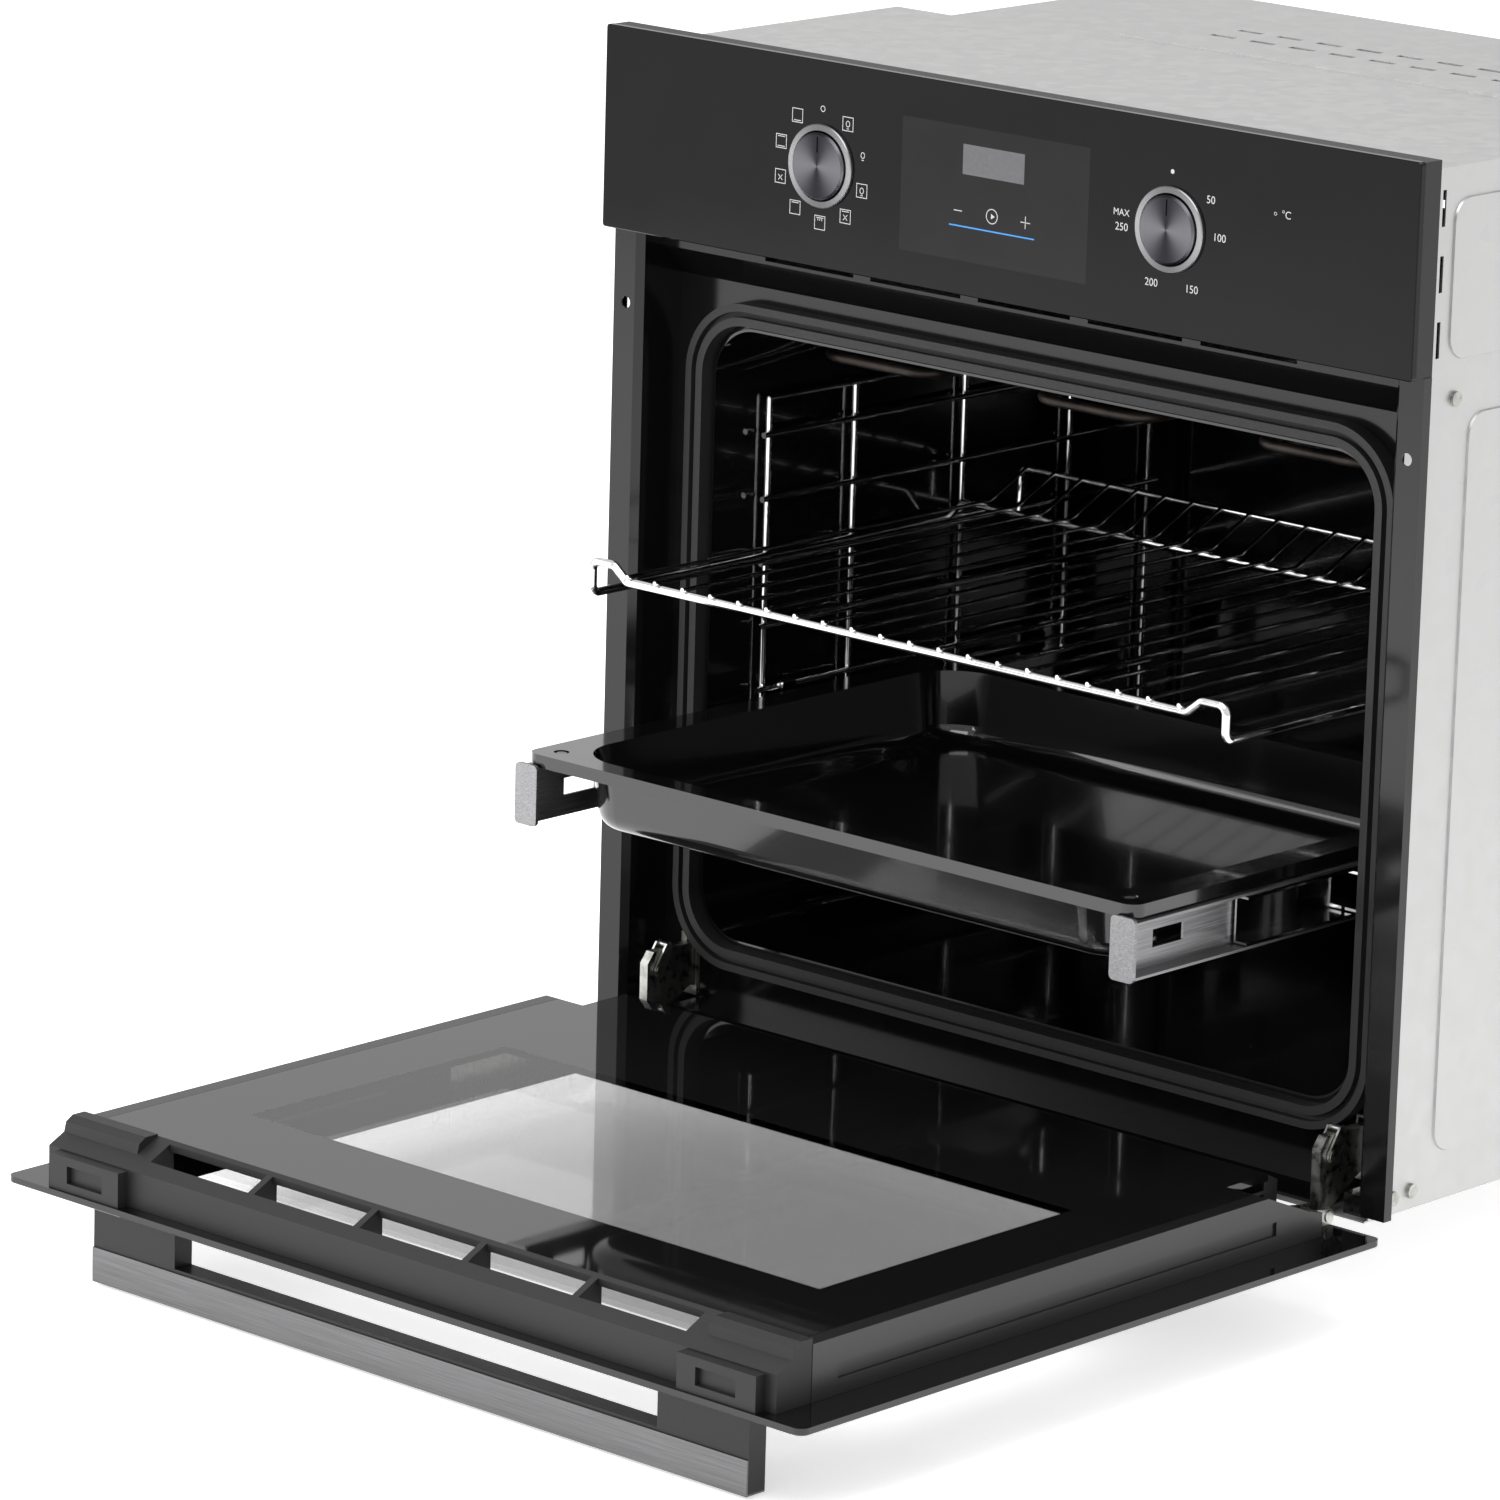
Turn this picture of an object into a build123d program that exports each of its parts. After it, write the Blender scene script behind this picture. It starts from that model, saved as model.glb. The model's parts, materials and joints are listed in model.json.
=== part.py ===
from build123d import *
from math import asin, cos, degrees, pi, sin, sqrt
import os

# Built-in single oven, drawn with its drop-down door open, the wire rack drawn
# out and the baking tray drawn out on its telescopic runners.
#
# Frame: +X is the user's right, +Y goes into the cabinet, +Z is up. X = 0 is the
# centre line, Y = 0 the cabinet's front plane, Z = 0 the base of the casing.
# All sizes are in millimetres.

os.makedirs("parts", exist_ok=True)

# ---------------------------------------------------------------- facade
facade_width = 595.0
facade_height = 595.0
panel_height = 118.5
panel_gap = 2.8             # between the control panel and the shut door
facade_front = -19.0        # front face of the glass, ahead of the cabinet
facade_glass = 4.0

# ---------------------------------------------------------------- casing
casing_width = 560.0
casing_height = 575.0
casing_depth = 460.0
sheet = 1.0
duct_rise = 10.0            # the front of the lid stands higher, over the fan duct
duct_depth = 215.0
duct_slope = 45.0

# ---------------------------------------------------------------- front frame
frame_front = -7.5
frame_bottom = 6.0
flange_width = 16.5
recess_depth = 35.5         # from the flange's front to the face behind the door
recess_draw = 4.0           # how far the recess narrows on each side
shelf_height = 12.0
screw_hole = 7.0
screw_spacing = 576.0
screw_height = 431.5

# ---------------------------------------------------------------- cavity
cavity_width = 490.0
cavity_height = 366.0
cavity_bottom = 54.5
cavity_rear = 440.0
cavity_corner = 30.0
liner_wall = 1.5
liner_lip = 3.0             # how far the liner's mouth stands out of the frame
seal_margin = 4.0           # from the cavity's mouth to the seal
seal_width = 13.0
seal_air = 0.5              # the seal stops this short of the shut door's glass
insulation_thickness = 27.0
insulation_gap = 1.0

# ---------------------------------------------------------------- door
hinge_y = -10.0
hinge_z = 2.0
inner_face = 16.8           # Y of the inner glass's face when the door is shut
inner_glass = 4.0
inner_glass_width = 524.0
inner_glass_bottom = 34.0   # heights on the door are given for the shut door
inner_glass_top = 438.2
middle_glass = 3.2
middle_glass_y = 1.0
middle_glass_width = 480.0
column_width = 10.0
trim_top = 465.0
trim_depth = 19.0           # shut: Y of the trim's edge nearest the cavity
trim_front_depth = 6.0
door_corner = 6.0
hinge_half = 254.0          # X of the hinge arms' middle plane
arm_thickness = 6.0
arm_nose = 4.3              # radius of the arm round the hinge pin
pin_radius = 2.5
receiver_rear = 95.0
running = 0.05              # radial clearance of shafts and pins
slip = 0.3                  # clearance between pieces that only pass each other

# ---------------------------------------------------------------- handle
handle_length = 491.0
handle_rise = 49.3          # how far it stands out of the glass
handle_height = 14.0
handle_top = 456.4          # height of its upper face, door shut
handle_post = 64.5
strip_depth = 19.8
strip_wall = 1.0

# ---------------------------------------------------------------- knobs
knob_spacing = 256.0
knob_height = 535.0
ring_radius = 24.0
well_radius = 19.85         # inside the metal ring
knob_radius = 19.2
knob_front = -23.0
knob_depth = 19.0
shaft_radius = 3.0
knob_well_back = 0.0

# ---------------------------------------------------------------- rack, tray and runners
rung_pitch = 38.5
rung_first = 120.0
rung_count = 7
ladder_x = 241.2
rung_x = 237.6
ladder_wire = 2.0
rung_wire = 1.8
upright_ys = (68.0, 144.0, 243.5, 343.0, 420.0)
rack_front = -86.0
rack_level = 4              # counted in rungs from the lowest
rack_frame_wire = 2.5
rack_grid_wire = 1.3
rack_cross_wire = 2.2
rack_fence_wire = 2.0
rack_side_x = 235.0
rack_rear = 262.0
rack_mid = 224.0
grid_count = 20
grid_width = 409.4
tray_front = -147.5
tray_width = 454.0
tray_length = 360.0
tray_top = 196.5
tray_floor = 154.0
tray_wall = 1.0
tray_rim = 19.0
tray_taper = 8.0
tray_bend = 12.0
runner_length = 354.0
runner_travel = 188.0
runner_home = 39.0          # front end of the runners when they are pushed in
runner_bottom = 156.0
runner_top = 188.0
runner_web_x = 219.0
runner_sheet = 1.5

# ---------------------------------------------------------------- fans and elements
fan_z = 237.0
fan_radius = 72.0
ring_element_radius = 92.0
element_tube = 3.2
blower_y = 150.0
blower_z = 502.0
blower_radius = 28.0
blower_length = 200.0
lamp_x = -198.0
lamp_z = 382.0

# ---------------------------------------------------------------- worked-out places
half_facade = facade_width / 2
half_casing = casing_width / 2
facade_back = facade_front + facade_glass
panel_bottom = facade_height - panel_height
door_height = panel_bottom - panel_gap
flange_inner = half_facade - flange_width
recess_half = flange_inner - recess_draw
recess_y = frame_front + recess_depth
half_cavity = cavity_width / 2
cavity_top = cavity_bottom + cavity_height
cavity_middle = (cavity_bottom + cavity_top) / 2
rack_rung_top = rung_first + rack_level * rung_pitch + rung_wire
rack_side_z = rack_rung_top + 0.5 + rack_frame_wire
rack_bar_z = rack_side_z + 11.2
rack_grid_z = rack_bar_z + rack_frame_wire + rack_grid_wire - 0.2
tray_rear = tray_front + tray_length
knob_x = knob_spacing / 2
sides = (("left", -1), ("right", 1))


def open_y(shut_z):
    """Y of a height on the shut door, once the door is down."""
    return hinge_y - (shut_z - hinge_z)


def open_z(shut_y):
    """Z of a depth on the shut door, once the door is down."""
    return hinge_z + (shut_y - hinge_y)


def block(low, high, mode=Mode.ADD):
    """A box between two opposite corners, given in any order."""
    middle = [(a + b) / 2 for a, b in zip(low, high)]
    size = [abs(b - a) for a, b in zip(low, high)]
    with Locations(tuple(middle)):
        Box(*size, mode=mode)


def rod(start, end, radius, mode=Mode.ADD):
    """A round bar from one point to another."""
    begin = Vector(*start)
    finish = Vector(*end)
    with Locations(Plane(origin=(begin + finish) / 2, z_dir=finish - begin)):
        Cylinder(radius, (finish - begin).length, mode=mode)


def bent_wire(points, radius, bend):
    """A round wire along straight runs with an arc at every corner."""
    with BuildLine() as route:
        FilletPolyline(*points, radius=bend)
    with BuildSketch(route.line ^ 0) as section:
        Circle(radius)
    sweep(section.sketch, path=route.line)


def across(points, half_width):
    """A prism over the full width from an outline of (Y, Z) points."""
    with BuildSketch(Plane.YZ.offset(-half_width)) as outline:
        with BuildLine():
            Polyline(*points, close=True)
        make_face()
    extrude(outline.sketch, amount=2 * half_width)


def door_prism(points, low_x, high_x, mode=Mode.ADD):
    """A prism from X to X; its outline is (height, depth) on the shut door."""
    with BuildSketch(Plane.YZ.offset(low_x)) as outline:
        with BuildLine():
            Polyline(*[(open_y(height), open_z(depth)) for height, depth in points], close=True)
        make_face()
    extrude(outline.sketch, amount=high_x - low_x, mode=mode)


def door_block(x_range, height_range, depth_range, mode=Mode.ADD):
    """A box on the door, from its X, shut height and shut depth."""
    low = (x_range[0], open_y(height_range[0]), open_z(depth_range[0]))
    high = (x_range[1], open_y(height_range[1]), open_z(depth_range[1]))
    block(low, high, mode=mode)


def mouth(margin, start_y, length, corner_margin=None, mode=Mode.ADD):
    """A rounded prism as large as the cavity's mouth plus a margin."""
    corner = cavity_corner + (margin if corner_margin is None else corner_margin)
    with BuildSketch(Plane.XZ.offset(-start_y)) as outline:
        with Locations((0, cavity_middle)):
            RectangleRounded(cavity_width + 2 * margin, cavity_height + 2 * margin, corner)
    extrude(outline.sketch, amount=-length, mode=mode)


# ================================================================ casing
base_front = -1.0
lid_front = 3.5
screw_places = [(21.4, 10.0), (38.0, 11.0), (42.6, 457.0), (240.0, 11.0), (440.0, 11.0)]
side_screw = 1.8

with BuildPart() as base_pan:
    block((-half_casing + sheet, base_front, 0), (half_casing - sheet, casing_depth - sheet, sheet))
    for side, sign in sides:
        outer = sign * (half_casing - sheet)
        block((outer, recess_y + 3, sheet), (outer - sign * sheet, casing_depth - sheet, 20))
    with GridLocations(80, 60, 5, 5):
        with Locations((0, casing_depth / 2, sheet / 2)):
            Cylinder(4, 3 * sheet, mode=Mode.SUBTRACT)
    for side, sign in sides:
        for y, z in screw_places:
            if z < 20:
                rod((sign * (half_casing - 8), y, z), (sign * half_casing, y, z), side_screw + 0.1,
                    Mode.SUBTRACT)
base_pan.part.label = "base_pan"
export_step(base_pan.part, "parts/base_pan.step")

slot_length = 20.0
slot_height = 3.0
for side, sign in sides:
    outer = sign * half_casing
    with BuildPart() as side_panel:
        block((outer, sheet, sheet), (outer - sign * sheet, casing_depth, casing_height - sheet))
        # low pressed fields that stiffen the sheet, standing 1.2 out of it
        for low_y, high_y, low_z, high_z in ((34, 430, 478, 568), (55, 430, 28, 448)):
            with BuildSketch(Plane.YZ.offset(outer - sign * sheet)) as field:
                with Locations(((low_y + high_y) / 2, (low_z + high_z) / 2)):
                    RectangleRounded(high_y - low_y, high_z - low_z, 14)
            extrude(field.sketch, amount=sign * (sheet + 1.2), taper=25)
        # upright cooling slots by the control panel, in two staggered columns
        for column_y, first_z, count in ((25.5, 563, 3), (39.5, 548.5, 2)):
            for row in range(count):
                z = first_z - row * 36
                block((outer + 1, column_y - slot_height / 2, z - slot_length / 2),
                      (outer - sign * 2 * sheet, column_y + slot_height / 2, z + slot_length / 2),
                      Mode.SUBTRACT)
        for y, z in screw_places:
            rod((sign * (half_casing - 8), y, z), (sign * (half_casing + 5), y, z), side_screw + 0.1,
                Mode.SUBTRACT)
    side_panel.part.label = f"side_panel_{side}"
    export_step(side_panel.part, f"parts/side_panel_{side}.step")

with BuildPart() as top_cover:
    step_start = duct_depth
    step_end = duct_depth + duct_slope
    lid_low = casing_height - sheet
    lid_high = lid_low + duct_rise
    across([(lid_front, lid_high), (step_start, lid_high), (step_end, lid_low), (casing_depth, lid_low),
            (casing_depth, casing_height), (step_end, casing_height), (step_start, casing_height + duct_rise),
            (lid_front, casing_height + duct_rise)], half_casing)
    block((-half_casing, lid_front - sheet, lid_low), (half_casing, lid_front, casing_height + duct_rise))
    # cheeks that close the raised front part against the side panels
    for side, sign in sides:
        with BuildSketch(Plane.YZ.offset(sign * half_casing)) as cheek:
            with BuildLine():
                Polyline((lid_front, lid_low), (step_end, lid_low), (step_start, lid_high),
                         (lid_front, lid_high),
                         close=True)
            make_face()
        extrude(cheek.sketch, amount=-sign * sheet)
    # flat pressed fields and rows of vent slots
    with Locations((0, 340, casing_height)):
        Box(330, 110, 2.4)
    with GridLocations(30, 26, 9, 2):
        with Locations((0, 340, casing_height)):
            Box(18, 5, 8, mode=Mode.SUBTRACT)
top_cover.part.label = "top_cover"
export_step(top_cover.part, "parts/top_cover.step")

motor_hole = 30.0
with BuildPart() as rear_panel:
    block((-half_casing + sheet, casing_depth - sheet, sheet),
          (half_casing - sheet, casing_depth, casing_height - sheet))
    rod((0, casing_depth - 5, fan_z), (0, casing_depth + 5, fan_z), motor_hole, Mode.SUBTRACT)
    with BuildSketch(Plane.XZ.offset(-casing_depth)) as dish:
        with Locations((0, fan_z)):
            Circle(130)
            Circle(100, mode=Mode.SUBTRACT)
    extrude(dish.sketch, amount=-1.5)
    for column in range(-5, 6):
        for row in range(3):
            x = column * 40
            z = 440 + row * 30
            block((x - 12, casing_depth - 5, z - 2.5), (x + 12, casing_depth + 5, z + 2.5), Mode.SUBTRACT)
rear_panel.part.label = "rear_panel"
export_step(rear_panel.part, "parts/rear_panel.step")

with BuildPart() as casing_screws:
    for side, sign in sides:
        for y, z in screw_places:
            start = sign * (half_casing - 1.3)
            rod((start, y, z), (sign * (half_casing + 0.1), y, z), side_screw)
            rod((sign * half_casing, y, z), (sign * (half_casing + 2.2), y, z), 4.2)
casing_screws.part.label = "casing_screws"
export_step(casing_screws.part, "parts/casing_screws.step")

# ================================================================ cavity
liner_rear = cavity_rear + liner_wall
lamp_hole = 22.0
element_hole = element_tube + 0.5
grill_z = cavity_top - 16.5
grill_leg_x = 60.0
bottom_element_z = cavity_bottom - liner_wall - element_tube - 2.2
bottom_leg_x = 40.0
ring_leg_x = 14.0
ring_leg_z = fan_z + sqrt(ring_element_radius ** 2 - ring_leg_x ** 2)

with BuildPart() as cavity_liner:
    mouth(liner_wall, recess_y - liner_lip, liner_rear - recess_y + liner_lip)
    mouth(0, recess_y - liner_lip - 1, cavity_rear - recess_y + liner_lip + 1, mode=Mode.SUBTRACT)
    # the flange that is welded to the back of the front frame
    with BuildSketch(Plane.XZ.offset(-(recess_y + sheet))) as flange:
        with Locations((0, cavity_middle)):
            RectangleRounded(cavity_width + 20, cavity_height + 20, cavity_corner + 10)
            RectangleRounded(cavity_width + liner_wall, cavity_height + liner_wall, cavity_corner,
                             mode=Mode.SUBTRACT)
    extrude(flange.sketch, amount=-sheet)
    rod((lamp_x, cavity_rear - 5, lamp_z), (lamp_x, liner_rear + 5, lamp_z), lamp_hole, Mode.SUBTRACT)
    rod((0, cavity_rear - 5, fan_z), (0, liner_rear + 5, fan_z), 6, Mode.SUBTRACT)
    for leg_x, leg_z in ((grill_leg_x, grill_z), (ring_leg_x, ring_leg_z)):
        for side, sign in sides:
            rod((sign * leg_x, cavity_rear - 5, leg_z), (sign * leg_x, liner_rear + 5, leg_z), element_hole,
                Mode.SUBTRACT)
cavity_liner.part.label = "cavity_liner"
export_step(cavity_liner.part, "parts/cavity_liner.step")

insulation_inner = liner_wall
insulation_rear = casing_depth - sheet - 2.5
with BuildPart() as insulation:
    block((-half_cavity - insulation_inner - insulation_thickness, recess_y + 4, 14),
          (half_cavity + insulation_inner + insulation_thickness, insulation_rear,
           cavity_top + insulation_inner + insulation_thickness))
    block((-half_cavity - insulation_inner, recess_y + 3, bottom_element_z - element_tube - insulation_gap),
          (half_cavity + insulation_inner, liner_rear, cavity_top + insulation_inner),
          Mode.SUBTRACT)
    # room for the liner's welded flange
    block((-half_cavity - 12, recess_y + 3, cavity_bottom - 12),
          (half_cavity + 12, recess_y + 6, cavity_top + 12), Mode.SUBTRACT)
    for side, sign in sides:
        block((sign * (hinge_half - 7), recess_y + 3, 15), (sign * (hinge_half + 7), receiver_rear + 2, 57),
              Mode.SUBTRACT)
    rod((lamp_x, cavity_rear, lamp_z), (lamp_x, casing_depth, lamp_z), lamp_hole + 1, Mode.SUBTRACT)
    rod((0, cavity_rear, fan_z), (0, casing_depth, fan_z), 10, Mode.SUBTRACT)
    legs = ((grill_leg_x, grill_z), (ring_leg_x, ring_leg_z), (bottom_leg_x, bottom_element_z))
    for leg_x, leg_z in legs:
        for side, sign in sides:
            rod((sign * leg_x, cavity_rear, leg_z), (sign * leg_x, casing_depth, leg_z), element_tube + 1,
                Mode.SUBTRACT)
insulation.part.label = "insulation"
export_step(insulation.part, "parts/insulation.step")

# ================================================================ front frame
ledge_y = recess_y - 17
ledge_low = cavity_top + 26.5
ledge_high = ledge_low + 18
frame_top = panel_bottom + 0.5
slot_half_z = (ledge_high + 2, ledge_high + 6)
arm_slot_half = arm_thickness / 2 + 3.2
slot_low_z = 17.0
slot_high_z = 55.0

with BuildPart() as front_frame:
    for side, sign in sides:
        # the flange that is screwed to the cabinet, its hem and the drawn side wall
        block((sign * flange_inner, frame_front, frame_bottom),
              (sign * half_facade, frame_front + sheet, frame_top))
        block((sign * (half_facade - sheet), frame_front, frame_bottom),
              (sign * half_facade, -sheet, frame_top))
        block((sign * (half_facade - 5), -2 * sheet, frame_bottom), (sign * half_facade, -sheet, frame_top))
        with BuildSketch(Plane.XY.offset(frame_bottom)) as wall:
            with BuildLine():
                Polyline((sign * flange_inner, frame_front), (sign * recess_half, frame_front + recess_draw),
                         (sign * recess_half, recess_y + sheet),
                         (sign * (recess_half + sheet), recess_y + sheet),
                         (sign * (recess_half + sheet), frame_front + recess_draw + 0.4),
                         (sign * (flange_inner + 0.6), frame_front + sheet), close=True)
            make_face()
        extrude(wall.sketch, amount=frame_top - frame_bottom)
        rod((sign * screw_spacing / 2, frame_front - 1, screw_height),
            (sign * screw_spacing / 2, frame_front + 2 * sheet, screw_height), screw_hole / 2, Mode.SUBTRACT)
    block((-recess_half, recess_y, shelf_height), (recess_half, recess_y + sheet, ledge_low + sheet))
    # air outlet ledge under the control panel
    across([(recess_y, ledge_low), (ledge_y, ledge_high), (ledge_y, frame_top), (ledge_y + sheet, frame_top),
            (ledge_y + sheet, ledge_high + 0.6), (recess_y + sheet, ledge_low + 0.6)], recess_half)
    # apron and shelf under the door
    block((-recess_half, 4, sheet), (recess_half, 4 + sheet, shelf_height + sheet))
    block((-recess_half, 4, shelf_height), (recess_half, recess_y + sheet, shelf_height + sheet))
    mouth(liner_wall + 0.1, recess_y - 5, 10, mode=Mode.SUBTRACT)
    for place in range(-2, 3):
        block((place * 81 - 34, ledge_y - 5, slot_half_z[0]), (place * 81 + 34, ledge_y + 5, slot_half_z[1]),
              Mode.SUBTRACT)
    for side, sign in sides:
        middle = sign * hinge_half
        block((middle - arm_slot_half, recess_y - 5, slot_low_z),
              (middle + arm_slot_half, recess_y + 5, slot_high_z),
              Mode.SUBTRACT)
        block((middle - arm_slot_half, 0, 0), (middle + arm_slot_half, recess_y + 5, shelf_height + 5),
              Mode.SUBTRACT)
front_frame.part.label = "front_frame"
export_step(front_frame.part, "parts/front_frame.step")

seal_front = inner_face + seal_air
seal_base_front = seal_front + 4.5
with BuildPart() as door_seal:
    outer = seal_margin + seal_width
    mouth(outer, seal_base_front, recess_y - seal_base_front, corner_margin=outer - 2)
    mouth(outer, seal_front, seal_base_front - seal_front, corner_margin=outer - 2)
    mouth(outer - 4.5, seal_front - 1, seal_base_front - seal_front + 1, corner_margin=outer - 6.5,
          mode=Mode.SUBTRACT)
    mouth(seal_margin + 5, seal_front, seal_base_front - seal_front, corner_margin=seal_margin + 3)
    mouth(seal_margin, seal_front - 1, recess_y - seal_front + 2, corner_margin=seal_margin - 2,
          mode=Mode.SUBTRACT)
door_seal.part.label = "door_seal"
export_step(door_seal.part, "parts/door_seal.step")

# ================================================================ control panel
carrier_front = facade_back
carrier_back = -0.6
carrier_web = 2.0
bracket_y = 1.5
glass_bore = well_radius + 1.2
display_width = 64.0
display_height = 30.0
display_z = 551.0

with BuildPart() as control_panel_glass:
    with BuildSketch(Plane.XZ.offset(-facade_front)) as face:
        with Locations((0, panel_bottom + panel_height / 2)):
            RectangleRounded(facade_width, panel_height, 2)
        with Locations((-knob_x, knob_height), (knob_x, knob_height)):
            Circle(glass_bore, mode=Mode.SUBTRACT)
    extrude(face.sketch, amount=-facade_glass)
    front_edges = control_panel_glass.edges().group_by(Axis.Y)[0]
    chamfer(front_edges.filter_by(GeomType.LINE), 0.6)
control_panel_glass.part.label = "control_panel_glass"
export_step(control_panel_glass.part, "parts/control_panel_glass.step")

with BuildPart() as control_panel_carrier:
    block((-half_facade + 0.5, carrier_front, panel_bottom + 0.5),
          (half_facade - 0.5, carrier_back, facade_height - 0.5))
    block((-half_facade + 2.5, carrier_front + carrier_web, panel_bottom + 2.5),
          (half_facade - 2.5, carrier_back + 1, facade_height - 2.5), Mode.SUBTRACT)
    for x in (-knob_x, knob_x):
        rod((x, carrier_front - 1, knob_height), (x, carrier_front + 5, knob_height), glass_bore,
            Mode.SUBTRACT)
    block((-display_width / 2, carrier_front - 1, display_z - display_height / 2),
          (display_width / 2, carrier_front + 5, display_z + display_height / 2), Mode.SUBTRACT)
    for x in (-200, -70, 70, 200):
        block((x - 1, carrier_front + 1, panel_bottom + 1), (x + 1, bracket_y, facade_height - 23))
control_panel_carrier.part.label = "control_panel_carrier"
export_step(control_panel_carrier.part, "parts/control_panel_carrier.step")

with BuildPart() as control_bracket:
    block((-half_casing + 2, bracket_y, frame_top + 1),
          (half_casing - 2, bracket_y + sheet, casing_height - 2))
    block((-half_casing + 2, bracket_y, frame_top), (half_casing - 2, ledge_y + sheet, frame_top + 1))
    for x in (-knob_x, knob_x):
        rod((x, -1, knob_height), (x, 6, knob_height), 6, Mode.SUBTRACT)
    block((-45, -1, 530), (45, 6, 565), Mode.SUBTRACT)
control_bracket.part.label = "control_bracket"
export_step(control_bracket.part, "parts/control_bracket.step")

with BuildPart() as display_module:
    block((-display_width / 2 + slip, carrier_front + 0.1, display_z - display_height / 2 + slip),
          (display_width / 2 - slip, -3, display_z + display_height / 2 - slip))
    block((-40, -3, 532), (40, -1.4, 564))
    # the touch keys' sensing strip below the digits
    block((-34, carrier_front + carrier_web + 0.1, 518), (34, carrier_front + carrier_web + 3, 530))
    block((-3, carrier_front + carrier_web + 0.2, 528), (3, -2, 540))
display_module.part.label = "display_module"
export_step(display_module.part, "parts/display_module.step")

knob_nodes = {"left": "selector", "right": "thermostat"}
for side, sign in sides:
    x = sign * knob_x
    with BuildPart() as knob_well:
        rod((x, facade_front - 2, knob_height), (x, facade_front, knob_height), ring_radius)
        rod((x, facade_front, knob_height), (x, knob_well_back, knob_height), glass_bore - 0.1)
        rod((x, facade_front - 3, knob_height), (x, knob_well_back - 1.5, knob_height), well_radius,
            Mode.SUBTRACT)
        rod((x, -5, knob_height), (x, 5, knob_height), shaft_radius + 1, Mode.SUBTRACT)
        rims = knob_well.edges().filter_by(GeomType.CIRCLE).sort_by(Axis.Y)[0:2]
        chamfer(rims, 0.5)
    knob_well.part.label = f"knob_well_{side}"
    export_step(knob_well.part, f"parts/knob_well_{side}.step")

    with BuildPart() as knob:
        rod((x, knob_front, knob_height), (x, knob_front + knob_depth, knob_height), knob_radius)
        chamfer(knob.edges().filter_by(GeomType.CIRCLE).sort_by(Axis.Y)[0], 1.2)
        rod((x, knob_front + 1.8, knob_height), (x, knob_front + knob_depth + 1, knob_height),
            shaft_radius + running,
            Mode.SUBTRACT)
        # engraved pointer from the rim to half-way in
        block((x - 0.5, knob_front - 1, knob_height + 8), (x + 0.5, knob_front + 0.5, knob_height + 17),
              Mode.SUBTRACT)
    node = f"{knob_nodes[side]}_knob"
    knob.part.label = node
    export_step(knob.part, f"parts/{node}.step")

    with BuildPart() as shaft:
        rod((x, knob_front + 2.1, knob_height), (x, 12, knob_height), shaft_radius)
        rod((x, 9, knob_height), (x, 12, knob_height), 8)
    node = f"{knob_nodes[side]}_shaft"
    shaft.part.label = node
    export_step(shaft.part, f"parts/{node}.step")

with BuildPart() as selector_switch:
    block((-knob_x - 22, bracket_y + sheet, knob_height - 22), (-knob_x + 22, 40, knob_height + 22))
    rod((-knob_x, bracket_y + sheet, knob_height), (-knob_x, 13, knob_height), 9, Mode.SUBTRACT)
    block((-knob_x - 20, bracket_y + sheet, knob_height - 20), (-knob_x + 20, 8, knob_height + 20),
          Mode.SUBTRACT)
    rod((-knob_x, 0.3, knob_height), (-knob_x, 8.5, knob_height), 5.5)
    block((-knob_x - 22, 5, knob_height - 4), (-knob_x + 22, 8.5, knob_height + 4))
    rod((-knob_x, -1, knob_height), (-knob_x, 9, knob_height), shaft_radius + running, Mode.SUBTRACT)
    for row in range(4):
        for column in range(3):
            tab_x = -knob_x - 14 + column * 14
            tab_z = knob_height - 16 + row * 10
            block((tab_x - 0.4, 40, tab_z - 3), (tab_x + 0.4, 48, tab_z + 3))
selector_switch.part.label = "selector_switch"
export_step(selector_switch.part, "parts/selector_switch.step")

with BuildPart() as thermostat_body:
    block((knob_x - 25, bracket_y + sheet, knob_height - 18), (knob_x + 25, 32, knob_height + 18))
    rod((knob_x, bracket_y + sheet, knob_height), (knob_x, 13, knob_height), 9, Mode.SUBTRACT)
    block((knob_x - 23, bracket_y + sheet, knob_height - 16), (knob_x + 23, 8, knob_height + 16),
          Mode.SUBTRACT)
    rod((knob_x, 0.3, knob_height), (knob_x, 8.5, knob_height), 5.5)
    block((knob_x - 25, 5, knob_height - 4), (knob_x + 25, 8.5, knob_height + 4))
    rod((knob_x, -1, knob_height), (knob_x, 9, knob_height), shaft_radius + running, Mode.SUBTRACT)
    for tab_x in (knob_x - 12, knob_x + 12):
        block((tab_x - 3, 32, knob_height + 6), (tab_x + 3, 41, knob_height + 6.8))
    # stub of the capillary tube to the cavity's sensor
    rod((knob_x, 32, knob_height - 8), (knob_x, 40, knob_height - 8), 2)
thermostat_body.part.label = "thermostat_body"
export_step(thermostat_body.part, "parts/thermostat_body.step")

# ================================================================ cooling fan
blower_half = 118.0
with BuildPart() as cooling_fan_housing:
    block((-blower_half, 104, 452), (blower_half, 196, 548))
    block((-blower_half + 1, 105, 453), (blower_half - 1, 195, 547), Mode.SUBTRACT)
    block((-blower_half + 2, 103, 454), (blower_half - 2, 106, 480), Mode.SUBTRACT)
    for sign in (-1, 1):
        rod((sign * (blower_half - 3), blower_y, blower_z), (sign * (blower_half + 3), blower_y, blower_z),
            21,
            Mode.SUBTRACT)
    # flat duct to the slots over the door
    block((-205, recess_y, 453), (205, 104, 454))
    block((-205, ledge_y + 4, 480), (205, 104, 481))
    for sign in (-1, 1):
        block((sign * 204, recess_y, 453), (sign * 205, 104, 481))
        block((sign * 116, 103, 453), (sign * 205, 104, 481))
cooling_fan_housing.part.label = "cooling_fan_housing"
export_step(cooling_fan_housing.part, "parts/cooling_fan_housing.step")

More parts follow.
